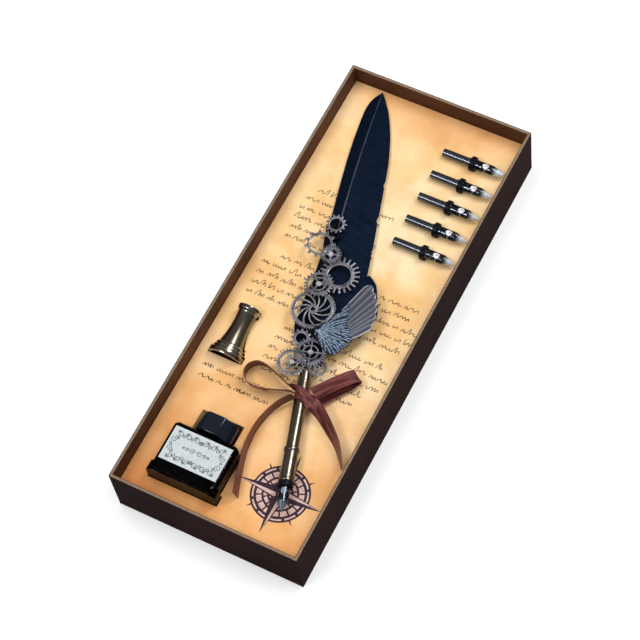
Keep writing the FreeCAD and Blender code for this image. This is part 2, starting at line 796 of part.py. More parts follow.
def add_teeth(body, size, tip_share, base_share=0.6):
    """Teeth round a rim. The shares are a tooth's width at its tip and base, of the pitch."""
    half_pitch = f"pi*{rim_middle(size)}/{size}_teeth"
    base = f"({half_pitch}*{base_share})"
    tip = f"({half_pitch}*{tip_share})"
    foot = rim_middle(size)
    sketch = new_sketch(body)
    crest = f"{size}_radius"
    outline(sketch, [(foot, f"-{base}"), (crest, f"-{tip}"), (crest, tip), (foot, base)])
    tooth = pad(body, sketch, "gear_thickness")
    pattern(body, tooth, sketch, f"{size}_teeth")


def add_hub(body, radius, hole):
    hub_sketch = new_sketch(body)
    circle(hub_sketch, radius)
    pad(body, hub_sketch, "gear_thickness")
    hole_sketch = new_sketch(body, level="gear_thickness")
    circle(hole_sketch, hole)
    pocket(body, hole_sketch, "gear_thickness")


def add_spokes(body, count, reach):
    """Straight spokes from the middle to the rim, and a hub with a hole for its rivet."""
    half = "spoke_width/2"
    sketch = new_sketch(body)
    outline(sketch, [("0", f"-{half}"), (reach, f"-{half}"), (reach, half), ("0", half)])
    spoke = pad(body, sketch, "gear_thickness")
    pattern(body, spoke, sketch, str(count))
    add_hub(body, "rivet_radius + hub_wall", "rivet_radius")


def add_band(body, radius):
    """A narrow ring between the hub and the rim."""
    sketch = new_sketch(body)
    circle(sketch, radius)
    circle(sketch, f"{radius} - band_width")
    pad(body, sketch, "gear_thickness")


def add_spiral_arms(body, reach):
    """Curved arms from the hub to the rim."""
    start = "(spiral_hub - spiral_arm_width/2)"
    half = "spiral_arm_width/2"
    far_x, far_y = f"{reach}*cos(spiral_sweep)", f"{reach}*sin(spiral_sweep)"
    side_x, side_y = f"{half}*sin(spiral_sweep)", f"{half}*cos(spiral_sweep)"
    curve = f"{reach}*{SPIRAL_CURVE}"
    sketch = new_sketch(body)
    outline(sketch, [
        (start, f"-{half}"),
        (f"{far_x} + {side_x}", f"{far_y} - {side_y}"),
        (f"{far_x} - {side_x}", f"{far_y} + {side_y}"),
        (start, half),
    ], {0: (curve, 1), 2: (curve, -1)})
    arm = pad(body, sketch, "gear_thickness")
    pattern(body, arm, sketch, "spiral_arms")
    add_hub(body, "spiral_hub", "spiral_hub/2")


# Bend of an arm of the spiral gear, in rim radii
SPIRAL_CURVE = 0.75


def open_gear(size, centre, tip_share, base_share=0.6):
    body = gear_rim(size, centre, GEAR_BASE)
    add_teeth(body, size, tip_share, base_share)


def spoked_gear(size, centre, height, spokes, with_band=False):
    body = gear_rim(size, centre, height)
    add_spokes(body, spokes, rim_middle(size))
    if with_band:
        add_band(body, f"{size}_band_radius")
    add_teeth(body, size, 0.38)


def gears():
    open_gear("crown", CROWN_CENTRE, 0.4)
    open_gear("sprocket", SPROCKET_CENTRE, 0.12, 0.75)
    open_gear("rake", RAKE_CENTRE, 0.4, 0.5)
    open_gear("pinion", PINION_CENTRE, 0.35)
    spiral = gear_rim("spiral", SPIRAL_CENTRE, GEAR_BASE)
    add_spiral_arms(spiral, rim_middle("spiral"))
    add_teeth(spiral, "spiral", 0.38)
    spoked_gear("left", LEFT_CENTRE, GEAR_BASE, 3, with_band=True)
    spoked_gear("right", RIGHT_CENTRE, GEAR_BASE, 3)
    spoked_gear("cross", CROSS_CENTRE, UPPER_GEAR_BASE, 4)
    spoked_gear("dial", DIAL_CENTRE, UPPER_GEAR_BASE, 3, with_band=True)
    spoked_gear("hub", HUB_CENTRE, UPPER_GEAR_BASE, 4, with_band=True)


def gear_rivets():
    """A rivet in the hub of each spoked gear that no other gear covers."""
    rivets = []
    for centre, base in (
        (LEFT_CENTRE, GEAR_BASE), (CROSS_CENTRE, UPPER_GEAR_BASE),
        (DIAL_CENTRE, UPPER_GEAR_BASE), (HUB_CENTRE, UPPER_GEAR_BASE),
    ):
        shank = doc.addObject("Part::Cylinder", "RivetShank")
        shank.setExpression("Radius", bound("rivet_radius"))
        shank.setExpression("Height", bound("gear_thickness"))
        shank.Placement = on_pen(centre[0], centre[1], base)
        head = doc.addObject("Part::Cone", "RivetHead")
        head.setExpression("Radius1", bound("rivet_head_radius"))
        head.setExpression("Radius2", bound("rivet_radius"))
        head.setExpression("Height", bound("rivet_head_height"))
        head.Placement = on_pen(centre[0], centre[1], f"{base} + gear_thickness")
        rivet = doc.addObject("Part::Fuse", "Rivet")
        rivet.Base = shank
        rivet.Tool = head
        rivets.append(rivet)
    group = keep(doc.addObject("Part::Compound", "gear_rivets"), "gear_rivets")
    group.Links = rivets


# Carrier of the ornament, and the wing

WING_ROOT = ("wing_root_u", f"({HUB_CENTRE[1]} + hub_radius + wing_root_gap)")
EYELET_CENTRE = (
    f"({CROWN_CENTRE[0]} + eyelet_hole/2)",
    f"({CROWN_CENTRE[1]} - crown_radius - eyelet_hole)",
)


def gear_carrier():
    """A flat spine above the quill, with arms under the gears and a post for the wing."""
    body = new_body("gear_carrier")
    thickness = f"({GEAR_BASE} - {CARRIER_BASE})"
    spine_end = CROWN_CENTRE[1]
    half = "spine_width/2"
    spine_sketch = new_sketch(body)
    outline(spine_sketch, [
        (f"-{half}", BARREL_TOP), (half, BARREL_TOP), (half, spine_end), (f"-{half}", spine_end),
    ])
    pad(body, spine_sketch, thickness)
    arm_sketch = new_sketch(body)
    arm_left = f"{LEFT_CENTRE[0]} - arm_end"
    arm_right = f"{RIGHT_CENTRE[0]} + arm_end"
    arm_top = f"{BARREL_TOP} + arm_width"
    outline(arm_sketch, [
        (arm_left, BARREL_TOP), (arm_right, BARREL_TOP), (arm_right, arm_top), (arm_left, arm_top),
    ])
    pad(body, arm_sketch, thickness)
    wing_arm_sketch = new_sketch(body)
    wing_low = f"{WING_ROOT[1]} - wing_post_radius"
    wing_high = f"{WING_ROOT[1]} + wing_post_radius"
    outline(wing_arm_sketch, [
        ("0", wing_low), (WING_ROOT[0], wing_low), (WING_ROOT[0], wing_high), ("0", wing_high),
    ])
    pad(body, wing_arm_sketch, thickness)
    post_sketch = new_sketch(body)
    circle(post_sketch, "wing_post_radius", WING_ROOT)
    pad(body, post_sketch, f"{WING_BASE} - {CARRIER_BASE}")
    eyelet_sketch = new_sketch(body)
    circle(eyelet_sketch, "eyelet_radius", EYELET_CENTRE)
    pad(body, eyelet_sketch, thickness)
    hole_sketch = new_sketch(body, level=thickness)
    circle(hole_sketch, "eyelet_hole", EYELET_CENTRE)
    pocket(body, hole_sketch, thickness)
    body.Placement = on_pen(height=CARRIER_BASE)


def wing_feather(length, angle):
    """The outline of one feather of the wing, as a face: narrow at the root, with a round tip."""
    half = value("wing_feather_width") / 2
    straight = length - half
    root = half / 2
    edges = [
        Part.LineSegment(Vector(0, root, 0), Vector(0, -root, 0)),
        Part.LineSegment(Vector(0, -root, 0), Vector(straight, -half, 0)),
        Part.Arc(Vector(straight, -half, 0), Vector(length, 0, 0), Vector(straight, half, 0)),
        Part.LineSegment(Vector(straight, half, 0), Vector(0, root, 0)),
    ]
    face = Part.Face(Part.Wire([edge.toShape() for edge in edges]))
    face.rotate(Vector(0, 0, 0), Vector(0, 0, 1), angle)
    return face


def wing_row(share, shift, level):
    """One row of feathers fanned from the root: shorter by a share, and half a step on for each shift."""
    count = round(value("wing_feathers"))
    faces = [Part.Face(Part.Wire(Part.makeCircle(value("wing_root_radius"))))]
    for index in range(count - 2 * shift):
        place = (index + shift) / (count - 1)
        length = share * (value("wing_short") + value("wing_long - wing_short") * (1 - place) ** 2)
        angle = value("wing_fan_start") + value("wing_fan_end - wing_fan_start") * place
        faces.append(wing_feather(max(length, value("wing_feather_width")), angle))
    row = faces[0].multiFuse(faces[1:]).removeSplitter()
    row.translate(Vector(0, 0, level))
    return row.extrude(Vector(0, 0, value("wing_layer")))


def wing():
    """Three rows of feathers, each shorter than the one under it."""
    layer = value("wing_layer")
    rows = [wing_row(share, shift, shift * layer) for shift, share in enumerate(WING_ROWS)]
    solid = rows[0].multiFuse(rows[1:]).removeSplitter()
    free_form("wing_ornament", solid, on_pen(WING_ROOT[0], WING_ROOT[1], WING_BASE))


# Length of each row of the wing's feathers, as a share of the longest row
WING_ROWS = [1.0, 0.62, 0.36]


# Ribbon

# Each station is a place beside the knot (outward, along the pen), how high the strip's lower edge is above
# the bed, and how far the strip leans from flat.
LEFT_LOOP = [
    (-1.5, 3.4, 3.0, 78), (-8.1, 8.6, 2.0, 80), (-16.3, 15.2, 1.0, 80), (-23.2, 18.0, 0.6, 82),
    (-28.6, 15.3, 0.6, 86), (-30.3, 9.9, 0.6, 92), (-27.4, 4.8, 0.6, 100), (-21.1, 2.4, 0.6, 108),
    (-13.0, 2.2, 0.9, 112), (-4.8, 2.3, 1.6, 112),
]
RIGHT_LOOP = [
    (2.9, -0.4, 9.5), (9.7, 4.2, 9.8), (15.9, 8.6, 9.5), (21.5, 12.4, 8.8), (24.9, 14.8, 7.2),
    (25.8, 15.1, 5.6), (24.9, 13.8, 4.3), (20.7, 10.9, 3.3), (14.5, 6.5, 3.1), (8.4, 1.5, 3.3),
    (3.4, -2.4, 3.6),
]
RIGHT_TAIL = [
    (3.2, -6.4, 8.4, 18), (8.4, -10.7, 5.2, 42), (14.7, -19.0, 2.4, 56), (20.6, -28.4, 1.0, 68),
    (25.1, -40.7, 0.5, 82),
]
LEFT_TAIL = [
    (-1.4, -2.4, 2.4, 70), (-5.6, -4.7, 1.6, 76), (-10.6, -9.2, 0.8, 80), (-15.0, -15.3, 0.5, 82),
    (-18.6, -22.6, 0.5, 82), (-21.0, -30.8, 0.5, 84), (-22.2, -38.3, 0.5, 86), (-22.8, -52.9, 0.5, 90),
    (-22.8, -64.3, 0.5, 90),
]
# The right loop lies flat, with its width this way all along
FLAT_LOOP_WIDTH_WAY = Vector(-0.552, 0.833, 0)


def station_middle(outward, along, edge_height, lean, side):
    """A station's middle on the pen's frame."""
    reach = value(f"max({BAND_RADIUS}; knot_width/2)")
    place = value("ribbon_place") + along
    bed = value(f"{BED_TOP} - {PEN_AXIS}") + place * math.tan(math.radians(value("pen_pitch")))
    height = bed + edge_height + value("ribbon_width") / 2 * math.sin(math.radians(lean))
    return Vector(side * reach + outward, place, height)


def smooth_edge(points):
    """A smooth curve through points, with one step of its parameter from each to the next."""
    curve = Part.BSplineCurve()
    curve.interpolate(Points=points, Parameters=[float(step) for step in range(len(points))])
    return curve


def ribbon_strip(label, stations, side, fixed_way=None):
    """A thin strip through its stations. Its width leans across the way it runs, or keeps one way."""
    leans = [0 if fixed_way else station[3] for station in stations]
    places = [station_middle(*station[:3], lean, side) for station, lean in zip(stations, leans)]
    corners = [[], [], [], []]
    for index, place in enumerate(places):
        before = places[max(index - 1, 0)]
        after = places[min(index + 1, len(places) - 1)]
        along = (after - before).normalize()
        if fixed_way:
            across = (fixed_way - along * fixed_way.dot(along)).normalize()
        else:
            flat = Vector(-along.y, along.x, 0).normalize()
            lean = math.radians(leans[index])
            across = flat * math.cos(lean) + along.cross(flat) * math.sin(lean)
        half_width = across * (value("ribbon_width") / 2)
        half_thickness = across.cross(along).normalize() * (value("ribbon_thickness") / 2)
        corners[0].append(place - half_width - half_thickness)
        corners[1].append(place + half_width - half_thickness)
        corners[2].append(place + half_width + half_thickness)
        corners[3].append(place - half_width + half_thickness)
    edges = [smooth_edge(line) for line in corners]
    faces = [edges[turn - 1].makeRuledSurface(edges[turn]).toShape() for turn in range(4)]
    for end in (0, -1):
        ring = [line[end] for line in corners]
        faces.append(Part.Face(Part.makePolygon(ring + ring[:1])))
    shell = Part.makeShell(faces)
    shell.sewShape()
    solid = Part.makeSolid(shell)
    if solid.Volume < 0:
        solid.reverse()
    free_form(label, solid, PEN_FRAME)


def ribbon():
    knot = new_body("ribbon_knot")
    low = "(ribbon_place - ribbon_width/2)"
    high = "(ribbon_place + ribbon_width/2)"
    profile = new_sketch(knot)
    outline(profile, [(BAND_INNER, low), (BAND_RADIUS, low), (BAND_RADIUS, high), (BAND_INNER, high)])
    revolve(knot, profile)
    x, y = "knot_width/2", "knot_length/2"
    lump_sketch = new_sketch(knot, level=f"{BAND_INNER} + ribbon_thickness/2")
    outline(lump_sketch, [
        (f"-{x}", f"ribbon_place - {y}"), (x, f"ribbon_place - {y}"),
        (x, f"ribbon_place + {y}"), (f"-{x}", f"ribbon_place + {y}"),
    ])
    pad(knot, lump_sketch, "knot_height")
    knot.Placement = PEN_FRAME
    ribbon_strip("ribbon_loop_left", LEFT_LOOP, -1)
    ribbon_strip("ribbon_loop_right", RIGHT_LOOP, 1, FLAT_LOOP_WIDTH_WAY)
    ribbon_strip("ribbon_tail_right", RIGHT_TAIL, 1)
    ribbon_strip("ribbon_tail_left", LEFT_TAIL, -1)


# Nibs, each along +X from the middle of its collar

def nib(label, placement, length, tip_width):
    face = "(collar_length/2)"
    back = f"(-{face} - shank_length)"
    shank = new_body(f"{label}_shank")
    shank_sketch = new_sketch(shank)
    inside = "(shank_radius - shank_wall)"
    outline(shank_sketch, [
        (back, inside), (back, "shank_radius"), (f"-{face} - flange_length", "shank_radius"),
        (f"-{face} - flange_length", "flange_radius"), (f"-{face}", "flange_radius"),
        (f"-{face}", "shank_radius"), (face, "shank_radius"), (face, "stub_radius"),
        (f"{face} + stub_length", "stub_radius"), (f"{face} + stub_length", "0"),
        (f"-{face}", "0"), (f"-{face}", inside),
    ])
    revolve(shank, shank_sketch, "H_Axis")
    collar = new_body(f"{label}_collar")
    collar_sketch = new_sketch(collar)
    outline(collar_sketch, [
        (f"-{face}", "shank_radius"), (f"-{face}", "collar_radius"),
        (face, "collar_radius"), (face, "shank_radius"),
    ])
    turned = revolve(collar, collar_sketch, "H_Axis")
    dress(collar, "Fillet", turned, is_rim("collar_radius"), "collar_rounding")
    blade = new_body(f"{label}_blade")
    tip = f"({face} + {length})"
    shoulder = f"({face} + min(blade_shoulder; 0.64*{length}))"
    breather = f"({face} + 0.4*{length})"
    outer = "(stub_radius + blade_thickness)"
    blade_sketch = new_sketch(blade, "XZ_Plane")
    outline(blade_sketch, [
        (face, "stub_radius"), (shoulder, "stub_radius"), (tip, f"{tip_width}/2"),
        (tip, f"{tip_width}/2 + blade_thickness"), (shoulder, outer), (face, outer),
    ])
    sheet_metal = revolve(blade, blade_sketch, "H_Axis")
    sheet_metal.Midplane = True
    sheet_metal.setExpression("Angle", bound("2*blade_wrap"))
    hole_sketch = new_sketch(blade, level=outer)
    circle(hole_sketch, "breather_radius", (breather, "0"))
    pocket(blade, hole_sketch, outer)
    slit_sketch = new_sketch(blade, level=outer)
    half_slit = "slit_width/2"
    past_tip = f"({tip} + blade_thickness)"
    outline(slit_sketch, [
        (breather, f"-{half_slit}"), (past_tip, f"-{half_slit}"),
        (past_tip, half_slit), (breather, half_slit),
    ])
    pocket(blade, slit_sketch, outer)
    for body in (shank, collar, blade):
        body.Placement = placement


def nibs():
    seat = Placement(Vector(0, -value("collar_length") / 2, 0), Rotation(Vector(0, 0, 1), -90))
    nib("pen_nib", PEN_FRAME * seat, "pen_blade_length", "fine_tip_width")
    tips = ["broad_tip_width", "medium_tip_width"] + ["fine_tip_width"] * (SPARE_NIBS - 2)
    for index, tip_width in enumerate(tips):
        place = Vector(value(NIB_X), value(spare_nib_y(index)), value(NIB_AXIS))
        nib(f"spare_nib_{index + 1}", Placement(place, Rotation()), "blade_length", tip_width)


# Pen stand, turned about its own axis and laid along +Y

LAID_DOWN = Rotation(Vector(1, 0, 0), -90)


def pen_stand():
    body = new_body("pen_stand")
    sketch = new_sketch(body, "XZ_Plane")
    hollow = "(stand_foot_radius - stand_foot_rim)"
    bore_floor = "(stand_height - stand_bore_depth)"
    curve = stand_curve("stand_flare_radius", "stand_waist_radius", STAND_BEAD_TOP, STAND_LIP_START)
    outline(sketch, [
        ("0", "stand_hollow_depth"), (hollow, "stand_hollow_depth"), (hollow, "0"),
        ("stand_foot_radius", "0"), ("stand_foot_radius", "stand_foot_height"),
        ("stand_step_radius", "stand_foot_height"), ("stand_step_radius", STAND_STEP_TOP),
        ("stand_bead_radius", STAND_STEP_TOP), ("stand_bead_radius", STAND_BEAD_TOP),
        ("stand_flare_radius", STAND_BEAD_TOP), ("stand_waist_radius", STAND_LIP_START),
        ("stand_lip_radius", f"({STAND_LIP_START} + stand_lip_flare)"), ("stand_lip_radius", "stand_height"),
        ("stand_bore_radius", "stand_height"), ("stand_bore_radius", bore_floor), ("0", bore_floor),
    ], {9: (curve, -1)})
    revolve(body, sketch)
    raised = Rotation(Vector(1, 0, 0), value("stand_tilt")) * LAID_DOWN
    body.Placement = Placement(Vector(value(STAND_X), value(STAND_Y), value(STAND_AXIS)), raised)


# Ink bottle, upright in its own sketches and laid along +Y with its label up

def bottle_frame():
    return Placement(Vector(value(BOTTLE_X), value(BOTTLE_Y), value(BOTTLE_AXIS)), LAID_DOWN)


def bottle_glass():
    body = new_body("bottle_glass")
    body_sketch = new_sketch(body)
    rounded_rectangle(body_sketch, "bottle_width", "bottle_depth", "bottle_corner")
    block = pad(body, body_sketch, "bottle_height")
    top = value("bottle_height")
    dress(body, "Chamfer", block, lambda edge: edge.BoundBox.ZMin > top - 1e-6, "shoulder")
    foot_sketch = new_sketch(body)
    rounded_rectangle(foot_sketch, "foot_width", "foot_depth", "foot_corner")
    pad(body, foot_sketch, "foot_height")
    neck_sketch = new_sketch(body, level="bottle_height")
    circle(neck_sketch, "neck_radius")
    pad(body, neck_sketch, f"{NECK_TOP} - bottle_height")
    cavity = body.newObject("PartDesign::SubtractiveBox", "Cavity")
    cavity.setExpression("Length", bound("bottle_width - 2*glass_wall"))
    cavity.setExpression("Width", bound("bottle_depth - 2*glass_wall"))
    cavity.setExpression("Height", bound("bottle_height - glass_floor - glass_wall"))
    cavity.setExpression("Placement.Base.x", bound("glass_wall - bottle_width/2"))
    cavity.setExpression("Placement.Base.y", bound("glass_wall - bottle_depth/2"))
    cavity.setExpression("Placement.Base.z", bound("glass_floor"))
    body.Tip = cavity
    bore_sketch = new_sketch(body, level=NECK_TOP)
    circle(bore_sketch, NECK_BORE)
    pocket(body, bore_sketch, f"{NECK_TOP} - bottle_height + 2*glass_wall")
    body.Placement = bottle_frame()


def bottle_label():
    label = keep(doc.addObject("Part::Box", "bottle_label"), "bottle_label")
    label.setExpression("Length", bound("label_width"))
    label.setExpression("Width", bound("label_thickness"))
    label.setExpression("Height", bound("bottle_height - label_rise - label_top_gap"))
    corner = Vector(value("-label_width/2"), value("-bottle_depth/2 - label_thickness"), value("label_rise"))
    label.Placement = bottle_frame() * Placement(corner, Rotation())


def bottle_cap():
    body = new_body("bottle_cap")
    cap_sketch = new_sketch(body, level=CAP_START)
    circle(cap_sketch, "cap_radius")
    pad(body, cap_sketch, "cap_length")
    flat_sketch = new_sketch(body, level=CAP_END)
    flat = "(cap_radius - cap_facet_cut)"
    past = "(cap_radius + cap_facet_cut)"
    half = f"({past}*tan(180/cap_facets))"
    outline(flat_sketch, [(flat, f"-{half}"), (past, f"-{half}"), (past, half), (flat, half)])
    facet = pocket(body, flat_sketch, "cap_length")
    pattern(body, facet, flat_sketch, "cap_facets")
    bore_sketch = new_sketch(body, level=CAP_START)
    circle(bore_sketch, "neck_radius + cap_fit")
    pocket(body, bore_sketch, "cap_length - cap_top", upwards=True)
    body.Placement = bottle_frame()


def cap_liner():
    liner = keep(doc.addObject("Part::Cylinder", "cap_liner"), "cap_liner")
    liner.setExpression("Radius", bound("neck_radius + cap_fit/2"))
    liner.setExpression("Height", bound("liner_thickness"))
    liner.Placement = bottle_frame() * Placement(Vector(0, 0, value(LINER_BASE)), Rotation())


tray()
barrel()
feather()
gears()
gear_rivets()
gear_carrier()
wing()
ribbon()
nibs()
pen_stand()
bottle_glass()
bottle_label()
bottle_cap()
cap_liner()
doc.recompute()

# Stop at anything that failed, then write one file for each sub-part

for thing in doc.Objects:
    if {"Invalid", "Error"} & set(thing.State):
        raise RuntimeError(f"{thing.Name} failed: {thing.State}")
for thing in sub_parts:
    if thing.Shape.isNull() or not thing.Shape.isValid() or not thing.Shape.Solids:
        raise RuntimeError(f"{thing.Label} has no sound solid")

os.makedirs("parts", exist_ok=True)
for thing in sub_parts:
    thing.Shape.exportStep(f"parts/{thing.Label}.step")
print(len(sub_parts), "sub-parts written")
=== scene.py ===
# %% [markdown]
# This lesson dresses a gift box with a quill pen for a picture. The box, the pen, the nibs, the ink bottle
# and the stand come from a CAD model, so their sizes and joints are already right. Blender adds what CAD
# can't say: the barbs of a feather, the sheen of a satin ribbon, printed parchment, worn metal and glass.

# %% Load the CAD model as a fixed frame
import random
from math import atan2, cos, pi, radians, sin, sqrt, tan

import bpy
from mathutils import Matrix, Vector


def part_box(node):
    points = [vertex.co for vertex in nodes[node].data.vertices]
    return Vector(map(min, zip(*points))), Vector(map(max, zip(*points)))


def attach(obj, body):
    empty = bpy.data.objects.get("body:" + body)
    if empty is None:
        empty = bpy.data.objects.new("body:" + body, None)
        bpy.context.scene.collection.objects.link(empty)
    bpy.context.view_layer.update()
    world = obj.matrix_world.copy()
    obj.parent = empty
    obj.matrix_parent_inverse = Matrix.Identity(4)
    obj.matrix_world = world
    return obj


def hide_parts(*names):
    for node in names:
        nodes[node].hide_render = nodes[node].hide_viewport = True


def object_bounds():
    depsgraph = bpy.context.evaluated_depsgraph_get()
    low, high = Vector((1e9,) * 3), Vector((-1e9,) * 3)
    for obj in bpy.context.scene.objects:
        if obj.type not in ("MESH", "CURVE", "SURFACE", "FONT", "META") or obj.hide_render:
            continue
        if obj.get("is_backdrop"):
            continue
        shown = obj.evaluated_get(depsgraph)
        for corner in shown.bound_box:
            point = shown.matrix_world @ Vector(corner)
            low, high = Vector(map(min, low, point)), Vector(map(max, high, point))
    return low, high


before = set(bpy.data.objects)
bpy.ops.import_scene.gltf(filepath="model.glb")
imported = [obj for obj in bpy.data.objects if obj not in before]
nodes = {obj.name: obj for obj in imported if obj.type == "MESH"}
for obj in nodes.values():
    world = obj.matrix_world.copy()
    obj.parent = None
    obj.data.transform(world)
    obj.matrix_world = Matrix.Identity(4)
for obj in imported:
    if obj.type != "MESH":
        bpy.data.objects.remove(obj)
cad_low, cad_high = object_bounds()
scene = bpy.context.scene
scene.view_settings.view_transform = "Standard"
MM = 0.001
print("CAD nodes:", len(nodes), "size in mm:", [round(side / MM, 1) for side in cad_high - cad_low])

# %% [markdown]
# The camera comes first, because every later choice is judged through it. A long lens from high above
# keeps the sides of the box nearly parallel. The camera looks at the middle of the box's base, is rolled
# a little, and its frame is shifted by a few pixels instead of being turned again.

# %% Camera
azimuth = radians(36.58)
elevation = radians(62.18)
roll = radians(-10.44)
camera_distance = 1.3116
image_pixels = 640
back = Vector((
    sin(azimuth) * cos(elevation),
    -cos(azimuth) * cos(elevation),
    sin(elevation),
))
level = (-back).cross(Vector((0, 0, 1))).normalized()
upright = level.cross(-back)
camera_right = level * cos(roll) + upright * sin(roll)
camera_up = upright * cos(roll) - level * sin(roll)
bpy.ops.object.camera_add()
camera = bpy.context.object
camera.name = "camera"
turn = Matrix((camera_right, camera_up, back)).transposed().to_4x4()
camera.matrix_world = Matrix.Translation(back * camera_distance) @ turn
camera.data.sensor_width = 36
camera.data.lens = 125.31
camera.data.shift_x = -12.1 / image_pixels
camera.data.shift_y = 9.9 / image_pixels
camera.data.clip_start = 0.05
scene.camera = camera
print("camera at", [round(number, 3) for number in camera.location])

# %% [markdown]
# Polished metal is a mirror, so it looks like what stands round it. Here the room is dim and the light
# comes from panels: a long one overhead that draws a bright line down the barrel and the stand, one over
# the near end that draws a line along each nib, and two wide ones at the sides for the paper. The side
# panels are hidden from mirrors, so that dark metal stays dark, and no panel stands where a flat gear
# would mirror it straight into the camera.

# %% World and lamps
world = bpy.data.worlds.new("studio")
scene.world = world
world.use_nodes = True
world.node_tree.nodes["Background"].inputs["Color"].default_value = (0.93, 0.96, 1.0, 1)
world.node_tree.nodes["Background"].inputs["Strength"].default_value = 0.2


def add_panel(name, place, width, height, watts, mirrored=True):
    """A rectangular lamp, turned towards the middle of the box. Mirrors see it only if mirrored is true."""
    bpy.ops.object.light_add(type="AREA", location=place)
    lamp = bpy.context.object
    lamp.name = name
    lamp.data.shape = "RECTANGLE"
    lamp.data.size = width
    lamp.data.size_y = height
    lamp.data.energy = watts
    lamp.visible_glossy = mirrored
    lamp.rotation_euler = (-Vector(place)).to_track_quat("-Z", "Y").to_euler()


add_panel("overhead_panel", (0.36, 0.68, 1.18), 0.26, 0.6, 7.2)
add_panel("near_panel", (-0.38, -0.62, 1.2), 0.6, 0.22, 5.6)
add_panel("left_panel", (-0.62, 0.1, 1.6), 0.9, 1.2, 9.0, mirrored=False)
add_panel("right_panel", (0.95, 0.1, 1.4), 0.9, 1.2, 7.8, mirrored=False)

# %% [markdown]
# Every finish starts from the Principled shader. A handful of small helpers add nodes to it, so that each
# finish below reads as a short list of what the real surface shows: its colour and how that wanders, how
# rough it is, and the small relief that catches the light.

# %% Helpers for finishes


def feed(finish, socket, source):
    """Join an output of another node to an input socket, or set the socket to a plain value."""
    if isinstance(source, bpy.types.NodeSocket):
        finish.node_tree.links.new(source, socket)
    else:
        socket.default_value = source


def fill(finish, node, **settings):
    """Feed a node's inputs by name, with an underscore for each space."""
    for name, source in settings.items():
        feed(finish, node.inputs[name.replace("_", " ")], source)


def add_node(finish, kind, **settings):
    node = finish.node_tree.nodes.new("ShaderNode" + kind)
    fill(finish, node, **settings)
    return node


def shade(finish, **settings):
    """Set inputs of a finish's Principled shader."""
    fill(finish, finish.node_tree.nodes["Principled BSDF"], **settings)


def start_finish(name, colour, roughness, metallic=0.0, specular=0.5):
    """A new material with one Principled shader."""
    finish = bpy.data.materials.new(name)
    finish.use_nodes = True
    shade(finish, Base_Color=(*colour, 1), Roughness=roughness, Metallic=metallic,
          Specular_IOR_Level=specular)
    return finish


def place_on(finish, source="Object", scale=(1, 1, 1), turned=(0, 0, 0)):
    """Coordinates for a pattern: the object's own, or its UV map, scaled and turned."""
    place = add_node(finish, "TexCoord").outputs[source]
    return add_node(finish, "Mapping", Vector=place, Scale=scale, Rotation=turned).outputs["Vector"]


def noise(finish, vector, scale, detail=4.0):
    return add_node(finish, "TexNoise", Vector=vector, Scale=scale, Detail=detail).outputs["Fac"]


def cells(finish, vector, scale):
    return add_node(finish, "TexVoronoi", Vector=vector, Scale=scale).outputs["Distance"]


def ramp(finish, factor, stops):
    """A colour ramp. Each stop is a place from 0 to 1 and a colour."""
    node = add_node(finish, "ValToRGB", Fac=factor)
    elements = node.color_ramp.elements
    while len(elements) < len(stops):
        elements.new(0.5)
    for element, (position, colour) in zip(elements, stops):
        element.position = position
        element.color = (*colour, 1)
    return node.outputs["Color"]


def spread(finish, factor, low, high, start=0.3, end=0.7):
    """Stretch a range of a pattern to run from low to high."""
    node = add_node(finish, "MapRange", Value=factor, From_Min=start, From_Max=end, To_Min=low, To_Max=high)
    return node.outputs["Result"]


def blend_colours(finish, share, first, second, blend="MIX"):
    """Mix two colour outputs by a share, which is a number or an output."""
    node = add_node(finish, "Mix")
    node.data_type = "RGBA"
    node.blend_type = blend
    fill(finish, node, Factor=share, A=first, B=second)
    return node.outputs["Result"]


def tint(finish, first, second, share=1.0):
    """Multiply one colour output by another."""
    return blend_colours(finish, share, first, second, "MULTIPLY")


def calculate(finish, operation, first, second=0.0):
    """A Math node. Each input is a plain number or an output to join."""
    node = add_node(finish, "Math")
    node.operation = operation
    for socket, source in zip(node.inputs, (first, second)):
        feed(finish, socket, source)
    return node.outputs[0]


def relief(finish, height, distance, strength):
    """Small relief from a height pattern. The distance is the height of a full step, in metres."""
    node = add_node(finish, "Bump", Height=height, Distance=distance, Strength=strength)
    shade(finish, Normal=node.outputs["Normal"])
    return node


def plain_finish(name, colour, tones, roughness, scale, detail, height=0.0, strength=0.5,
                 specular=0.5, ends=(0.3, 0.7), stretch=(1, 1, 1)):
    """A finish whose colour, roughness and relief follow one noise, where they are not constant."""
    smooth, rough = roughness
    finish = start_finish(name, colour, (smooth + rough) / 2, specular=specular)
    pattern = noise(finish, place_on(finish, "Object", stretch), scale, detail)
    if tones:
        shade(finish, Base_Color=ramp(finish, pattern, list(zip(ends, tones))))
    if rough > smooth:
        shade(finish, Roughness=spread(finish, pattern, smooth, rough))
    if height:
        relief(finish, pattern, height, strength)
    return finish


def dress(finish, *names):
    """Give a finish to CAD nodes, which keep their shape."""
    for name in names:
        mesh = nodes[name].data
        mesh.materials.clear()
        mesh.materials.append(finish)


print("helpers ready")

# %% [markdown]
# The floor is one large pale plane. It stays a real surface, so that it catches the shadow of the box. A
# little glow, which only the camera, mirrors and glass see, lifts it to white without lighting the box any
# further.

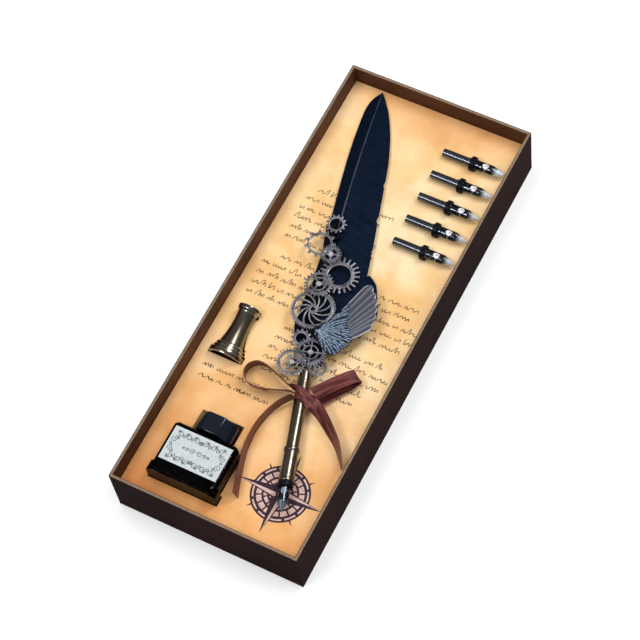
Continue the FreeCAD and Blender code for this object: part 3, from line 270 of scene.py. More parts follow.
# %% Floor
floor_glow = 0.3
bpy.ops.mesh.primitive_plane_add(size=8, location=(0, 0, -0.0002))
floor = bpy.context.object
floor.name = "studio_floor"
floor_finish = start_finish("floor_white", (0.9, 0.9, 0.9), 0.9, specular=0.0)
ray = add_node(floor_finish, "LightPath")
seen = calculate(floor_finish, "MAXIMUM", ray.outputs["Is Camera Ray"], ray.outputs["Is Glossy Ray"])
seen = calculate(floor_finish, "MAXIMUM", seen, ray.outputs["Is Transmission Ray"])
glow = calculate(floor_finish, "MULTIPLY", seen, floor_glow)
shade(floor_finish, Emission_Color=(1, 1, 1, 1), Emission_Strength=glow)
floor.data.materials.append(floor_finish)
floor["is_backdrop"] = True
print("floor made, glow", floor_glow)

# %% [markdown]
# The outside of the box is paper with a pressed leather grain, a nearly black brown. The inside is a plain
# red-brown paper. Where the two papers meet, the cut edge of the greyboard between them shows as a thin
# pale line. The tan foam under the card is seen only in the narrow gaps round the pieces.

# %% Box papers, board and foam
leatherette = start_finish("leatherette", (0.018, 0.009, 0.008), 0.42, specular=0.002)
place = place_on(leatherette)
wear = noise(leatherette, place, 22, 6)
leather_tone = ramp(leatherette, wear, [(0.35, (0.014, 0.006, 0.006)), (0.65, (0.028, 0.014, 0.012))])
shade(leatherette, Base_Color=leather_tone, Roughness=spread(leatherette, wear, 0.36, 0.5))
relief(leatherette, cells(leatherette, place, 1500), 0.0001, 0.5)
dress(leatherette, "wrap_paper", "base_paper")

lining = start_finish("lining", (0.12, 0.045, 0.025), 0.6, specular=0.15)
place = place_on(lining)
fibres = noise(lining, place, 500, 8)
clouds = noise(lining, place, 25, 4)
lining_tone = ramp(lining, clouds, [(0.3, (0.055, 0.02, 0.01)), (0.7, (0.12, 0.046, 0.022))])
shade(lining, Base_Color=lining_tone, Roughness=spread(lining, fibres, 0.5, 0.7))
relief(lining, fibres, 0.00008, 0.5)
dress(lining, "lining_paper")

board_tones = [(0.17, 0.115, 0.072), (0.29, 0.205, 0.14)]
greyboard = plain_finish("greyboard", (0.34, 0.26, 0.19), board_tones, (0.9, 0.9), 900, 8, 0.00015, 0.6)
dress(greyboard, "base_board", "wall_left", "wall_right", "wall_far", "wall_near")

foam = start_finish("foam", (0.6, 0.36, 0.16), 0.95)
pores = cells(foam, place_on(foam), 900)
foam_tone = ramp(foam, pores, [(0.0, (0.42, 0.23, 0.09)), (0.7, (0.66, 0.42, 0.20))])
shade(foam, Base_Color=foam_tone)
relief(foam, pores, 0.0003, 0.8)
dress(foam, "foam_bed")
print("box finishes made")

# %% [markdown]
# The card that covers the foam is printed to look like old parchment. Two sizes of cloud set its warm
# mottling. It is palest in the middle and grows more orange towards its border and most of all towards
# the near end, as if that end had been held to a candle.

# %% Parchment card
parchment = start_finish("parchment", (0.85, 0.55, 0.26), 0.75, specular=0.25)
place = place_on(parchment)
clouds = noise(parchment, place, 16, 9)
blots = noise(parchment, place, 60, 6)
specks = noise(parchment, place, 320, 6)
pale_tone = ramp(parchment, clouds, [
    (0.32, (0.90, 0.57, 0.25)), (0.5, (0.94, 0.66, 0.34)), (0.66, (0.95, 0.75, 0.47)),
])
burnt_tone = ramp(parchment, clouds, [
    (0.32, (0.58, 0.18, 0.045)), (0.5, (0.78, 0.32, 0.09)), (0.66, (0.90, 0.48, 0.18)),
])
axes = add_node(parchment, "SeparateXYZ", Vector=place)
near_end = spread(parchment, axes.outputs["Y"], 0.85, 0.05, -0.15, -0.02)
border = near_end
for axis, start, end, most in (("X", 0.046, 0.062, 0.22), ("Y", 0.118, 0.150, 0.7)):
    off_middle = calculate(parchment, "ABSOLUTE", axes.outputs[axis])
    edge_share = spread(parchment, off_middle, 0.0, most, start, end)
    border = calculate(parchment, "MAXIMUM", border, edge_share)
aged_tone = blend_colours(parchment, border, pale_tone, burnt_tone)
blot_tone = ramp(parchment, blots, [(0.32, (0.88, 0.78, 0.64)), (0.58, (1.0, 1.0, 1.0))])
shade(parchment, Base_Color=tint(parchment, aged_tone, blot_tone, 0.85),
      Roughness=spread(parchment, specks, 0.65, 0.85))
relief(parchment, specks, 0.00004, 0.5)
dress(parchment, "parchment_card")
card_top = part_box("parchment_card")[1].z
print("parchment made, its top at", round(card_top / MM, 2), "mm")

# %% [markdown]
# Cast and plated metals differ in colour, but share a way of ageing: a patina that wanders, a finely
# pitted skin, and bright edges where the patina has been rubbed off. One helper makes them all, and a
# second, smoother finish is kept for the edges.

# %% Metals


def aged_metal(name, dark, light, smooth, rough, scale=160.0, height=0.00005, bare=1.0):
    """Metal with a wandering patina and a finely pitted skin. Bare is the share with no grey patina."""
    finish = start_finish(name, light, rough, bare)
    place = place_on(finish)
    patina = noise(finish, place, scale, 8)
    pits = noise(finish, place, scale * 8, 4)
    shade(finish, Base_Color=ramp(finish, patina, [(0.32, dark), (0.68, light)]),
          Roughness=spread(finish, patina, rough, smooth))
    relief(finish, pits, height, 0.6)
    return finish


bronze_dark, bronze_light = (0.16, 0.135, 0.10), (0.27, 0.235, 0.18)
antique_bronze = aged_metal("antique_bronze", bronze_dark, bronze_light, 0.23, 0.31, 70.0, 0.000006)
bronze_edge = aged_metal("bronze_edge", (0.42, 0.38, 0.31), (0.62, 0.57, 0.49), 0.16, 0.24, 70.0, 0.000006)
pewter = aged_metal("pewter", (0.06, 0.06, 0.075), (0.30, 0.295, 0.33), 0.3, 0.46, bare=0.5)
pewter_edge = aged_metal("pewter_edge", (0.42, 0.41, 0.43), (0.82, 0.79, 0.79), 0.24, 0.36, bare=0.5)
# The gear carrier behind the gears is given a near-black colour, so the deep spaces between the gears come
# out dark.
near_black_metal = aged_metal("near_black_metal", (0.008, 0.009, 0.012), (0.022, 0.024, 0.030), 0.4, 0.55)
nickel_dark, nickel_light = (0.10, 0.11, 0.13), (0.16, 0.17, 0.19)
black_nickel = aged_metal("black_nickel", nickel_dark, nickel_light, 0.24, 0.28, 90.0, 0.000001)
dress(antique_bronze, "barrel_tube", "grip_sleeve")
dress(near_black_metal, "gear_carrier")
dress(pewter_edge, "gear_rivets")
dress(black_nickel, *[name for name in nodes if name.endswith("_shank")])
print("metals made")

# %% [markdown]
# A dip nib is pale at its tip, and the part behind it is dark and engraved with fine scrollwork. A pale
# spot on the crest round the breather hole is a painted highlight: it is strongest where the blade faces
# straight up, and like the tip it is made less metallic and rougher, so that it stays pale. The spare nibs
# lie side by side with their tips to the right, so one pattern along X serves them all, and the pen's nib
# gets a twin of it along the pen. Thin rings of a cell pattern pass for the engraved lines.

# %% Nib blades
bright_start, bright_full, vent_back = 0.0065, 0.0035, 0.0112


def nib_plating(name, heading, tip_place, glint_tone, tip_tone):
    """Pale tip, dark engraving, painted highlight at the breather hole. Heading points to the tip."""
    finish = start_finish(name, (0.6, 0.62, 0.65), 0.12, 1.0)
    run = add_node(finish, "VectorMath")
    run.operation = "DOT_PRODUCT"
    feed(finish, run.inputs[0], add_node(finish, "TexCoord").outputs["Object"])
    feed(finish, run.inputs[1], heading)
    reach = run.outputs["Value"]
    towards_tip = spread(finish, reach, 0.0, 1.0, tip_place - bright_start, tip_place - bright_full)
    off_vent = calculate(finish, "SUBTRACT", reach, tip_place - vent_back)
    glint_along = calculate(finish, "POWER", calculate(finish, "MULTIPLY", off_vent, 500.0), 2.0)
    # The pale spot round the breather hole is a painted highlight, strongest where the blade faces straight
    # up.
    surface = add_node(finish, "NewGeometry")
    facing = add_node(finish, "SeparateXYZ", Vector=surface.outputs["Normal"])
    glint_across = spread(finish, facing.outputs["Z"], 1.0, 0.0, 0.86, 1.0)
    vent_glint = spread(finish, calculate(finish, "ADD", glint_along, glint_across), 1.0, 0.0, 0.8, 1.1)
    tip_and_glint = calculate(finish, "MAXIMUM", vent_glint, calculate(finish, "MULTIPLY", towards_tip, 0.7))
    scrolls = cells(finish, place_on(finish), 700)
    lines = ramp(finish, scrolls, [
        (0.30, (0.030, 0.035, 0.045)), (0.38, (0.30, 0.32, 0.35)), (0.46, (0.030, 0.035, 0.045)),
    ])
    # The glint tone paints that highlight, and the tip tone colours the pale tip.
    tip_and_glint_tone = ramp(finish, towards_tip, [(0.0, glint_tone), (1.0, tip_tone)])
    plating_and_glint = blend_colours(finish, calculate(finish, "MAXIMUM", vent_glint, towards_tip), lines, tip_and_glint_tone)
    metal_share = spread(finish, tip_and_glint, 1.0, 0.25, 0.0, 1.0)
    roughness = spread(finish, tip_and_glint, 0.2, 0.36, 0.0, 0.7)
    shade(finish, Base_Color=plating_and_glint, Metallic=metal_share, Roughness=roughness)
    engraved = calculate(finish, "MULTIPLY", scrolls, calculate(finish, "SUBTRACT", 1.0, towards_tip))
    relief(finish, engraved, 0.00001, 0.3)
    return finish


spare_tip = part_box("spare_nib_1_blade")[1].x
# The first tone paints the highlight round the spare nibs' breather holes, and the second colours their
# tips.
spare_plating = nib_plating("nib_steel", (1, 0, 0), spare_tip, (0.88, 0.89, 0.90), (0.72, 0.77, 0.83))
dress(spare_plating, *[name for name in nodes if name.startswith("spare_") and name.endswith("_blade")])
print("spare nibs' tips at", round(spare_tip / MM, 1), "mm")

# %% [markdown]
# CAD edges are perfectly sharp, and a sharp edge never glints. So the pieces whose edges show get a copy
# with softened edges: the copy's loose triangles are merged, flat faces are joined up again, and a Bevel
# modifier rounds every edge that turns by more than 30 degrees. The Bevel modifier can also give its new
# faces another material, which is just what worn edges need.

# %% Soften edges


def select_only(*pieces):
    """Select pieces and nothing else. The first becomes the active one."""
    bpy.ops.object.select_all(action="DESELECT")
    for piece in pieces:
        piece.select_set(True)
    bpy.context.view_layer.objects.active = pieces[0]


def join_pieces(name, pieces):
    """Join pieces into the first of them, and name it."""
    select_only(*pieces)
    bpy.ops.object.join()
    pieces[0].name = name
    return pieces[0]


def edit_all():
    """Open the active piece for editing, with all of it selected."""
    bpy.ops.object.mode_set(mode="EDIT")
    bpy.ops.mesh.select_all(action="SELECT")


def smooth_faces(angle):
    """Shade the selected piece smooth, but for edges that turn by more than an angle in degrees."""
    bpy.ops.object.shade_smooth_by_angle(angle=radians(angle))


def face_outward(piece):
    """Turn all faces of a closed piece outwards."""
    select_only(piece)
    edit_all()
    bpy.ops.mesh.normals_make_consistent(inside=False)
    bpy.ops.object.mode_set(mode="OBJECT")


def apply_modifier(piece, kind, **settings):
    select_only(piece)
    modifier = piece.modifiers.new(kind.lower(), kind)
    for name, amount in settings.items():
        setattr(modifier, name, amount)
    bpy.ops.object.modifier_apply(modifier=modifier.name)


def thicken(piece, thickness, finish, angle):
    """Give a strip of faces a thickness in millimetres and a finish, and shade it smooth."""
    apply_modifier(piece, "SOLIDIFY", thickness=thickness * MM, offset=0)
    piece.data.materials.append(finish)
    smooth_faces(angle)


def soften(node, body, width, finish, edge_finish):
    """A copy of a CAD node with rounded edges stands for the node."""
    piece = bpy.data.objects.new(f"{node}_soft", nodes[node].data.copy())
    scene.collection.objects.link(piece)
    piece.data.materials.clear()
    piece.data.materials.append(finish)
    piece.data.materials.append(edge_finish)
    select_only(piece)
    edit_all()
    bpy.ops.mesh.remove_doubles(threshold=0.000001)
    bpy.ops.mesh.dissolve_limited(angle_limit=radians(0.5))
    bpy.ops.object.mode_set(mode="OBJECT")
    apply_modifier(piece, "BEVEL", width=width * MM, segments=2, limit_method="ANGLE",
                   angle_limit=radians(30), material=1, use_clamp_overlap=True)
    smooth_faces(28)
    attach(piece, body)
    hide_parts(node)


gear_names = [name for name in nodes if name.endswith("_gear")]
for name in gear_names:
    soften(name, "pen", 0.14, pewter, pewter_edge)
soften("pen_stand", "pen_stand", 0.5, antique_bronze, bronze_edge)
for name in ("barrel_ring", "grip_end_ring"):
    soften(name, "pen", 0.25, antique_bronze, bronze_edge)
print("softened:", len(gear_names) + 3)

# %% [markdown]
# The ink bottle is dark blue glass, and with the ink inside it looks black but for the reflections on its
# edges. The ink is a piece of its own that fills the hollow. The cap is black plastic with a polished
# skin.

# %% Bottle, ink and cap
bottle_glass = start_finish("bottle_glass", (0.03, 0.04, 0.06), 0.02)
shade(bottle_glass, Transmission_Weight=1.0, IOR=1.09, Coat_Weight=0.15)
waves = noise(bottle_glass, place_on(bottle_glass), 40, 2)
relief(bottle_glass, waves, 0.0002, 0.3)
soften("bottle_glass", "ink_bottle", 0.3, bottle_glass, bottle_glass)

ink_tones = [(0.002, 0.003, 0.006), (0.006, 0.008, 0.016)]
ink_finish = plain_finish("ink", (0.004, 0.005, 0.010), ink_tones, (0.06, 0.14), 60, 4)
glass_low, glass_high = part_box("bottle_glass")
side_overhang, face_overhang, wall, gap = 1.5 * MM, 1 * MM, 2.2 * MM, 0.05 * MM
glass_floor, body_height = 3 * MM, 33 * MM
side_depth, face_depth = side_overhang + wall + gap, face_overhang + wall + gap
ink_low = glass_low + Vector((side_depth, glass_floor + gap, face_depth))
ink_high = Vector((
    glass_high.x - side_depth,
    glass_low.y + body_height - wall - gap,
    glass_high.z - face_depth,
))
bpy.ops.mesh.primitive_cube_add(size=1)
ink = bpy.context.object
ink.name = "ink"
for vertex in ink.data.vertices:
    for axis in range(3):
        vertex.co[axis] = ink_high[axis] if vertex.co[axis] > 0 else ink_low[axis]
apply_modifier(ink, "BEVEL", width=0.6 * MM, segments=3)
smooth_faces(40)
ink.data.materials.append(ink_finish)
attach(ink, "ink_bottle")
print("ink fills", [round(side / MM, 1) for side in ink_high - ink_low], "mm")

black_plastic = plain_finish(
    "black_plastic", (0.006, 0.009, 0.017), None, (0.1, 0.2), 120, 6, 0.00003, 0.4, specular=0.45)
soften("bottle_cap", "cap", 0.5, black_plastic, black_plastic)
collar_black = plain_finish(
    "collar_black", (0.006, 0.007, 0.010), None, (0.24, 0.36), 150, 6, 0.00002, 0.4, specular=0.08)
dress(collar_black, *[name for name in nodes if name.endswith("_collar")])

liner_tones = [(0.7, 0.68, 0.62), (0.85, 0.83, 0.78)]
liner = plain_finish("liner", (0.8, 0.78, 0.72), liner_tones, (0.8, 0.8), 700, 6, 0.00005)
dress(liner, "cap_liner")

# %% [markdown]
# Printed and written marks lie on the paper as a film of ink. Each is modelled as a very thin line: a
# curve with a round section is turned into a mesh and then pressed flat, so that it stands only a few
# hundredths of a millimetre above the paper. The same helper serves the card and the label.

# %% Ink lines
film, print_depth = 0.00002, 0.00003


def print_finish(name, dark, light, scale):
    """Printing ink, patchy where the paper shows through."""
    return plain_finish(name, dark, [dark, light], (0.6, 0.8), scale, 6, 0.00001, ends=(0.35, 0.65))


def ink_lines(name, lines, width, level, finish, body):
    """Thin flat lines of ink on a level surface. Points are in millimetres."""
    curve = bpy.data.curves.new(name, "CURVE")
    curve.dimensions = "3D"
    curve.bevel_depth = width / 2 * MM
    curve.bevel_resolution = 0
    curve.use_fill_caps = True
    for line in lines:
        spline = curve.splines.new("POLY")
        spline.points.add(len(line) - 1)
        for point, (x, y) in zip(spline.points, line):
            point.co = (x * MM, y * MM, 0, 1)
    thing = bpy.data.objects.new(name, curve)
    scene.collection.objects.link(thing)
    select_only(thing)
    bpy.ops.object.convert(target="MESH")
    piece = bpy.context.object
    for vertex in piece.data.vertices:
        vertex.co.z = level + film * (1 if vertex.co.z > 0 else -1)
    piece.data.materials.append(finish)
    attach(piece, body)
    print(name, "has", len(lines), "lines,", len(piece.data.polygons), "faces")


# %% [markdown]
# The card carries rows of pen strokes that look like a page from a travel book but spell nothing. Each
# group of strokes is one running line, whose shape and height change from crest to crest. The groups come
# from a seeded random number generator, so that they are the same on every run. Rows stop short of the
# cut-outs for the stand and the nibs.

# %% Pen strokes on the card
pen_hand = random.Random(7)
kept_clear = [(-56, -26, -56, -16), (12, 58, 46, 132)]
row_spacing, row_room, crest_room = 7.0, 4, 2.2


def pen_wave(x, y, crests):
    """One group of strokes that leans forward: arches, cups and plain waves in a random order."""
    points = []
    for crest in range(crests):
        height = pen_hand.choice([1.8, 2.0, 1.7, 2.2, 3.9, 1.9])
        shape = pen_hand.choice(["arch", "cup", "wave"])
        pace = pen_hand.uniform(1.5, 2.3)
        for step in range(10):
            half_turn = pi * step / 10
            swell = sin(half_turn) ** 0.6
            if shape == "cup":
                swell = 1 - swell
            elif shape == "wave":
                swell = sin(half_turn) ** 2
            points.append((x + pace * step / 10 + 0.3 * height * swell, y + height * swell))
        x += pace
    points.append((x, y))
    return points, x


def pen_rows(left, right, top, rows, indent):
    """Rows of groups of strokes, but for groups that would run into a cut-out."""
    lines = []
    for row in range(rows):
        y = top - row * row_spacing
        x = left + (indent if row == 0 else pen_hand.uniform(0, 2))
        end = right - pen_hand.uniform(0, 16)
        while x < end:
            crests = pen_hand.randint(2, 6)
            blocked = any(
                low_x < x + crests * crest_room and x < high_x and low_y < y + row_room and y < high_y
                for low_x, high_x, low_y, high_y in kept_clear
            )
            points, next_x = pen_wave(x, y + pen_hand.uniform(-0.2, 0.2), crests)
            if not blocked:
                lines.append(points)
            x = next_x + pen_hand.uniform(1.7, 2.5)
    return lines


writing = pen_rows(-48, 12, 68, 6, 6) + pen_rows(-52, 52, 19, 5, 10)
writing += pen_rows(-22, 52, -22, 5, 4) + pen_rows(-50, -8, -62, 2, 0)
brown_ink = print_finish("brown_ink", (0.022, 0.013, 0.007), (0.06, 0.036, 0.018), 700)
ink_lines("pen_strokes", writing, 0.52, card_top, brown_ink, "tray")

# %% [markdown]
# Under the nib of the pen lies a printed compass rose, the plain kind that old charts carry, with no
# letters. It is built up in layers, each a little above the last. Its disc and rings start as circles. A
# ring's edge is extruded and shrunk, which leaves a band of faces, and some faces are deleted so that the
# dark disc below shows between pale blocks. Triangles make the points of the star.

# %% Compass rose
plum_ink = print_finish("plum_ink", (0.016, 0.005, 0.012), (0.042, 0.016, 0.032), 500)
pink_ink = print_finish("pink_ink", (0.54, 0.33, 0.29), (0.72, 0.51, 0.45), 500)
rose_spot = (29.0 * MM, -114.3 * MM, card_top + film)


def finish_print(finish, lift):
    """Close the open face layer that was just made, and raise it a little above the layer below."""
    layer = bpy.context.object
    edit_all()
    bpy.ops.mesh.extrude_region_move(TRANSFORM_OT_translate={"value": (0, 0, -print_depth)})
    bpy.ops.mesh.select_all(action="SELECT")
    bpy.ops.mesh.normals_make_consistent(inside=False)
    bpy.ops.transform.translate(value=(0, 0, lift))
    bpy.ops.object.mode_set(mode="OBJECT")
    layer.data.materials.append(finish)
    return layer


def rose_disc(radius, finish, lift):
    bpy.ops.mesh.primitive_circle_add(
        vertices=96, radius=radius * MM, fill_type="NGON", location=rose_spot)
    return finish_print(finish, lift)


def rose_ring(outer, inner, blocks, lift):
    """A ring of pale blocks. One face in five is left out, so that the dark disc shows between them."""
    bpy.ops.mesh.primitive_circle_add(vertices=blocks * 5, radius=outer * MM, location=rose_spot)
    ring = bpy.context.object
    edit_all()
    bpy.ops.mesh.extrude_edges_move()
    share = inner / outer
    bpy.ops.transform.resize(value=(share, share, 1), center_override=rose_spot)
    bpy.ops.mesh.select_mode(type="FACE")
    bpy.ops.mesh.select_all(action="DESELECT")
    bpy.ops.object.mode_set(mode="OBJECT")
    for face in ring.data.polygons:
        angle = atan2(face.center.y, face.center.x) / (2 * pi)
        face.select = int(angle * blocks * 5 + blocks * 5) % 5 == 0
    bpy.ops.object.mode_set(mode="EDIT")
    bpy.ops.mesh.delete(type="FACE")
    bpy.ops.object.mode_set(mode="OBJECT")
    return finish_print(pink_ink, lift)


def rose_ray(near, far, spread_angle, turned, finish, lift):
    """A triangle from the middle: its foot swings aside by an angle, and its tip lies straight out."""
    bpy.ops.mesh.primitive_circle_add(vertices=3, radius=far * MM, fill_type="NGON", location=rose_spot)
    ray_mesh = bpy.context.object.data
    corners = [(0, 0), (near, turned + spread_angle), (far, turned)]
    for vertex, (reach, angle) in zip(ray_mesh.vertices, corners):
        run = radians(angle)
        vertex.co = (reach * MM * cos(run), reach * MM * sin(run), 0)
    return finish_print(finish, lift)


rose_layers = [rose_disc(17.2, plum_ink, 0)]
for outer, inner, blocks in ((16.1, 15.1, 12), (13.6, 10.6, 16), (9.4, 7.4, 12), (6.2, 4.6, 8)):
    rose_layers.append(rose_ring(outer, inner, blocks, film))
for quarter in range(4):
    turned = 90 * quarter
    for side in (1, -1):
        rose_layers.append(rose_ray(17.6, 20.6, side * 1.6, turned + 45, plum_ink, 0.00001))
        rose_layers.append(rose_ray(5.2, 25.5, side * 45, turned, plum_ink, 0.00003))
    rose_layers.append(rose_ray(3.9, 23.6, 42, turned + 0.6, pink_ink, 0.00005))
rose_layers.append(rose_disc(2.6, plum_ink, 0.00006))
rose = join_pieces("compass_rose", rose_layers)
bpy.ops.object.transform_apply(location=True, rotation=True, scale=True)
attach(rose, "tray")
print("compass rose has", len(rose.data.polygons), "faces")

# %% [markdown]
# The label on the bottle is a pale paper with a printed border of paired scrolls, and a small flourish in
# the middle. Each scroll is one spiral line that winds inwards.

# %% Label
label_tones = [(0.50, 0.55, 0.56), (0.59, 0.64, 0.64)]
label_paper = plain_finish("label", (0.62, 0.68, 0.69), label_tones, (0.55, 0.55), 400, 6, 0.00004)
dress(label_paper, "bottle_label")
label_low, label_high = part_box("bottle_label")
label_middle = (label_low + label_high) / 2 / MM


def scroll(x, y, size, turned, hand):
    """A spiral that winds inwards, given its middle, size, first angle and hand."""
    points = []
    for step in range(26):
        share = step / 25
        radius = size * (1 - 0.78 * share)
        angle = radians(turned + hand * 520 * share)
        points.append((x + radius * cos(angle), y + radius * sin(angle)))
    return points


scrolls = []
for up in (-1, 1):
    for across in (-13.2, -8.0, -2.8, 2.8, 8.0, 13.2):
        hand = 1 if across > 0 else -1
        x, y = label_middle.x + across, label_middle.y + up * 6.9
        scrolls.append(scroll(x, y, 1.9, 90 - 90 * hand, up * hand))
        scrolls.append(scroll(x - hand * 2.5, y - up * 0.7, 1.3, 90 + 90 * hand, -up * hand))
        scrolls.append(scroll(x + hand * 1.2, y + up * 1.5, 0.8, 90 - 90 * hand, -up * hand))
for hand in (-1, 1):
    for up in (-1, 1):
        x, y = label_middle.x + hand * 15.6, label_middle.y + up * 3.0
        scrolls.append(scroll(x, y, 2.0, 90 * up, hand * up))
        scrolls.append(scroll(x - hand * 2.0, y + up * 1.4, 1.0, -90 * up, -hand * up))
    scrolls.append(scroll(label_middle.x + hand * 15.9, label_middle.y, 1.0, 0, hand))
    for offset, size in ((2.2, 1.7), (5.4, 1.2), (7.8, 0.8)):
        scrolls.append(scroll(label_middle.x + hand * offset, label_middle.y, size, 90 + 90 * hand, -hand))
black_ink = print_finish("black_ink", (0.012, 0.015, 0.022), (0.04, 0.045, 0.055), 700)
ink_lines("label_scrolls", scrolls, 0.42, label_high.z, black_ink, "ink_bottle")

# %% [markdown]
# The pen lies at a slant, so its soft pieces are shaped in the pen's own frame: across, along and above,
# measured in millimetres from the mouth of the grip. One matrix carries them to their place.

# %% The pen's frame
pen_tilt = radians(18.5)
pen_pitch = radians(0.9)
pen_mouth = Vector((30.2, -108.782, 30.919))
nib_reach = 0.017
along_pen = Vector((
    -sin(pen_tilt) * cos(pen_pitch),
    cos(pen_tilt) * cos(pen_pitch),
    -sin(pen_pitch),
))
across_pen = Vector((cos(pen_tilt), sin(pen_tilt), 0))
above_pen = across_pen.cross(along_pen)
pen_turn = Matrix((across_pen, along_pen, above_pen)).transposed().to_4x4()
pen_frame = Matrix.Scale(MM, 4) @ Matrix.Translation(pen_mouth) @ pen_turn
pen_tip = (-along_pen).dot(pen_mouth) * MM + nib_reach
# The pen's nib gets the same painted highlight round its breather hole, in a darker, bluer tone.
pen_plating = nib_plating("pen_nib_steel", -along_pen, pen_tip, (0.24, 0.28, 0.34), (0.16, 0.21, 0.28))
dress(pen_plating, "pen_nib_blade")
print("pen frame set at", [round(number, 1) for number in pen_mouth])


def smooth_between(points, share):
    """A point on a smooth line through points, at a share of the way from the first to the last."""
    reach = share * (len(points) - 1)
    start = min(int(reach), len(points) - 2)
    step = reach - start
    before = points[max(start - 1, 0)]
    first, second = points[start], points[start + 1]
    after = points[min(start + 2, len(points) - 1)]
    result = []
    for a, b, c, d in zip(before, first, second, after):
        bend = (2 * a - 5 * b + 4 * c - d) * step ** 2 + (3 * b - a - 3 * c + d) * step ** 3
        result.append(0.5 * (2 * b + (c - a) * step + bend))
    return result


def strip_of_faces(name, columns, rows, place_at):
    """A grid of faces, whose points are then carried to where the piece runs."""
    bpy.ops.mesh.primitive_grid_add(x_subdivisions=columns, y_subdivisions=rows, size=1)
    piece = bpy.context.object
    piece.name = name
    piece.data.name = name
    for vertex in piece.data.vertices:
        vertex.co = pen_frame @ Vector(place_at(vertex.co.x + 0.5, vertex.co.y + 0.5))
    return piece


# %% [markdown]
# A feather's vane is a sheet of barbs that lean towards the tip. Its outline follows the CAD sheet it
# stands for, from the quill outwards, and the barbs are drawn on its UV map, which runs across and along
# the vane: a leaning wave gives each barb its colour, gloss and relief. The colour is lighter on the barbs
# and darker between them, partly the barbs' own pattern and partly painted shade. A noise stretched along
# the barbs darkens some streaks and leaves others lighter, a painted sheen. A few barbs have parted, so the
# outer edge has small nicks.

# %% Feather
feather_start, feather_length, feather_bow = 72.0, 191.0, 16.0
left_breadth = [
    (0.03, 0.3), (0.12, 1.5), (0.19, 1.45), (0.3, 0.95), (0.42, 0.7), (0.58, 0.82), (0.75, 1.0),
    (0.86, 1.02), (0.93, 0.95), (0.97, 0.62), (1.0, 0.0),
]
right_breadth = [
    (0.03, 0.2), (0.15, 0.72), (0.28, 0.97), (0.4, 1.0), (0.55, 0.93), (0.66, 0.86), (0.75, 0.78),
    (0.84, 0.62), (0.92, 0.39), (0.97, 0.17), (1.0, 0.0),
]


def barb_finish(name, dark, light, lean):
    finish = start_finish(name, dark, 0.5, specular=0.06)
    place = place_on(finish, "UV", (1, 9, 1), (0, 0, radians(lean)))
    wave = add_node(finish, "TexWave", Vector=place, Scale=24, Distortion=1.4, Detail=3)
    wave.bands_direction = "Y"
    stretch = add_node(finish, "Mapping", Vector=place, Scale=(1.5, 16, 1))
    # This noise paints sheen streaks along the barbs: some darker, others left lighter.
    sheen_streak_noise = noise(finish, stretch.outputs["Vector"], 1, 5)
    # The barbs are lighter than the gaps between them: partly their own pattern, partly painted shade.
    tone = ramp(finish, wave.outputs["Fac"], [(0.15, dark), (0.85, light)])
    painted_sheen_streaks = ramp(finish, sheen_streak_noise, [(0.35, (0.45, 0.45, 0.5)), (0.65, (1.0, 1.0, 1.0))])
    shade(finish, Base_Color=tint(finish, tone, painted_sheen_streaks),
          Roughness=spread(finish, wave.outputs["Fac"], 0.6, 0.45))
    relief(finish, wave.outputs["Fac"], 0.00015, 0.6)
    return finish


left_barbs = barb_finish("left_barbs", (0.001, 0.003, 0.009), (0.005, 0.012, 0.032), -28)
right_barbs = barb_finish("right_barbs", (0.001, 0.004, 0.011), (0.008, 0.020, 0.052), 28)
horn_tones = [(0.005, 0.010, 0.022), (0.014, 0.025, 0.048)]
quill_horn = plain_finish(
    "quill_horn", (0.02, 0.035, 0.065), horn_tones, (0.24, 0.36), 1, 5, 0.00003, stretch=(300, 60, 300))
dress(quill_horn, "feather_quill")


def quill_point(share):
    place = Vector((feather_bow * share ** 2, feather_start + feather_length * share, 0))
    return place, Vector((feather_length, -2 * feather_bow * share, 0)).normalized()


def feather_vane(name, node, breadth, width, side, finish, nicks):
    """A vane from the quill to its outer edge, gently domed, with nicks where barbs have parted."""
    def place_at(outward, along):
        share, part = smooth_between(breadth, along)
        place, right = quill_point(min(share, 1))
        for spot, depth in nicks:
            part *= 1 - depth * max(0, 1 - abs(share - spot + 0.03 * outward) / 0.012)
        radius = 0.02 + 1.6 * (1 - share)
        rise = 0.6 * sin(pi * outward) * (1 - share)
        rise += 0.10 * sin(90 * share + 5 * outward) * outward * (1 - share)
        point = place + right * side * (radius + outward * width * max(part, 0))
        return point.x, point.y, rise
    piece = strip_of_faces(name, 20, 240, place_at)
    apply_modifier(piece, "SOLIDIFY", thickness=0.25 * MM, offset=0)
    piece.data.materials.append(finish)
    face_outward(piece)
    smooth_faces(40)
    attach(piece, "pen")
    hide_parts(node)
    print(name, "has", len(piece.data.polygons), "faces")


right_nicks = [(0.27, 0.05), (0.36, 0.07), (0.45, 0.04), (0.57, 0.05), (0.7, 0.04)]
feather_vane("barbed_vane_left", "feather_vane_left", left_breadth, 6.5, -1, left_barbs, [(0.5, 0.08)])
feather_vane("barbed_vane_right", "feather_vane_right", right_breadth, 22.5, 1, right_barbs, right_nicks)

# %% [markdown]
# A second, shorter feather is glued under the first, and peeps out beside the wing. Its outline is an
# oblong that narrows at both ends, so one strip of faces between a left and a right edge makes it.

# %% Backing feather
backing_start, backing_width, backing_length = Vector((2.0, 77.8, -0.6)), 34.0, 58.0
backing_left = [
    (0.05, 0.0), (0.0, 0.18), (0.0, 0.5), (0.15, 0.64), (0.3, 0.78), (0.46, 0.88), (0.62, 0.98), (0.7, 1.0),
]
backing_right = [
    (0.06, 0.0), (0.24, 0.07), (0.52, 0.25), (0.85, 0.41), (0.97, 0.56), (0.91, 0.8), (0.86, 0.91),
    (0.74, 1.0),
]


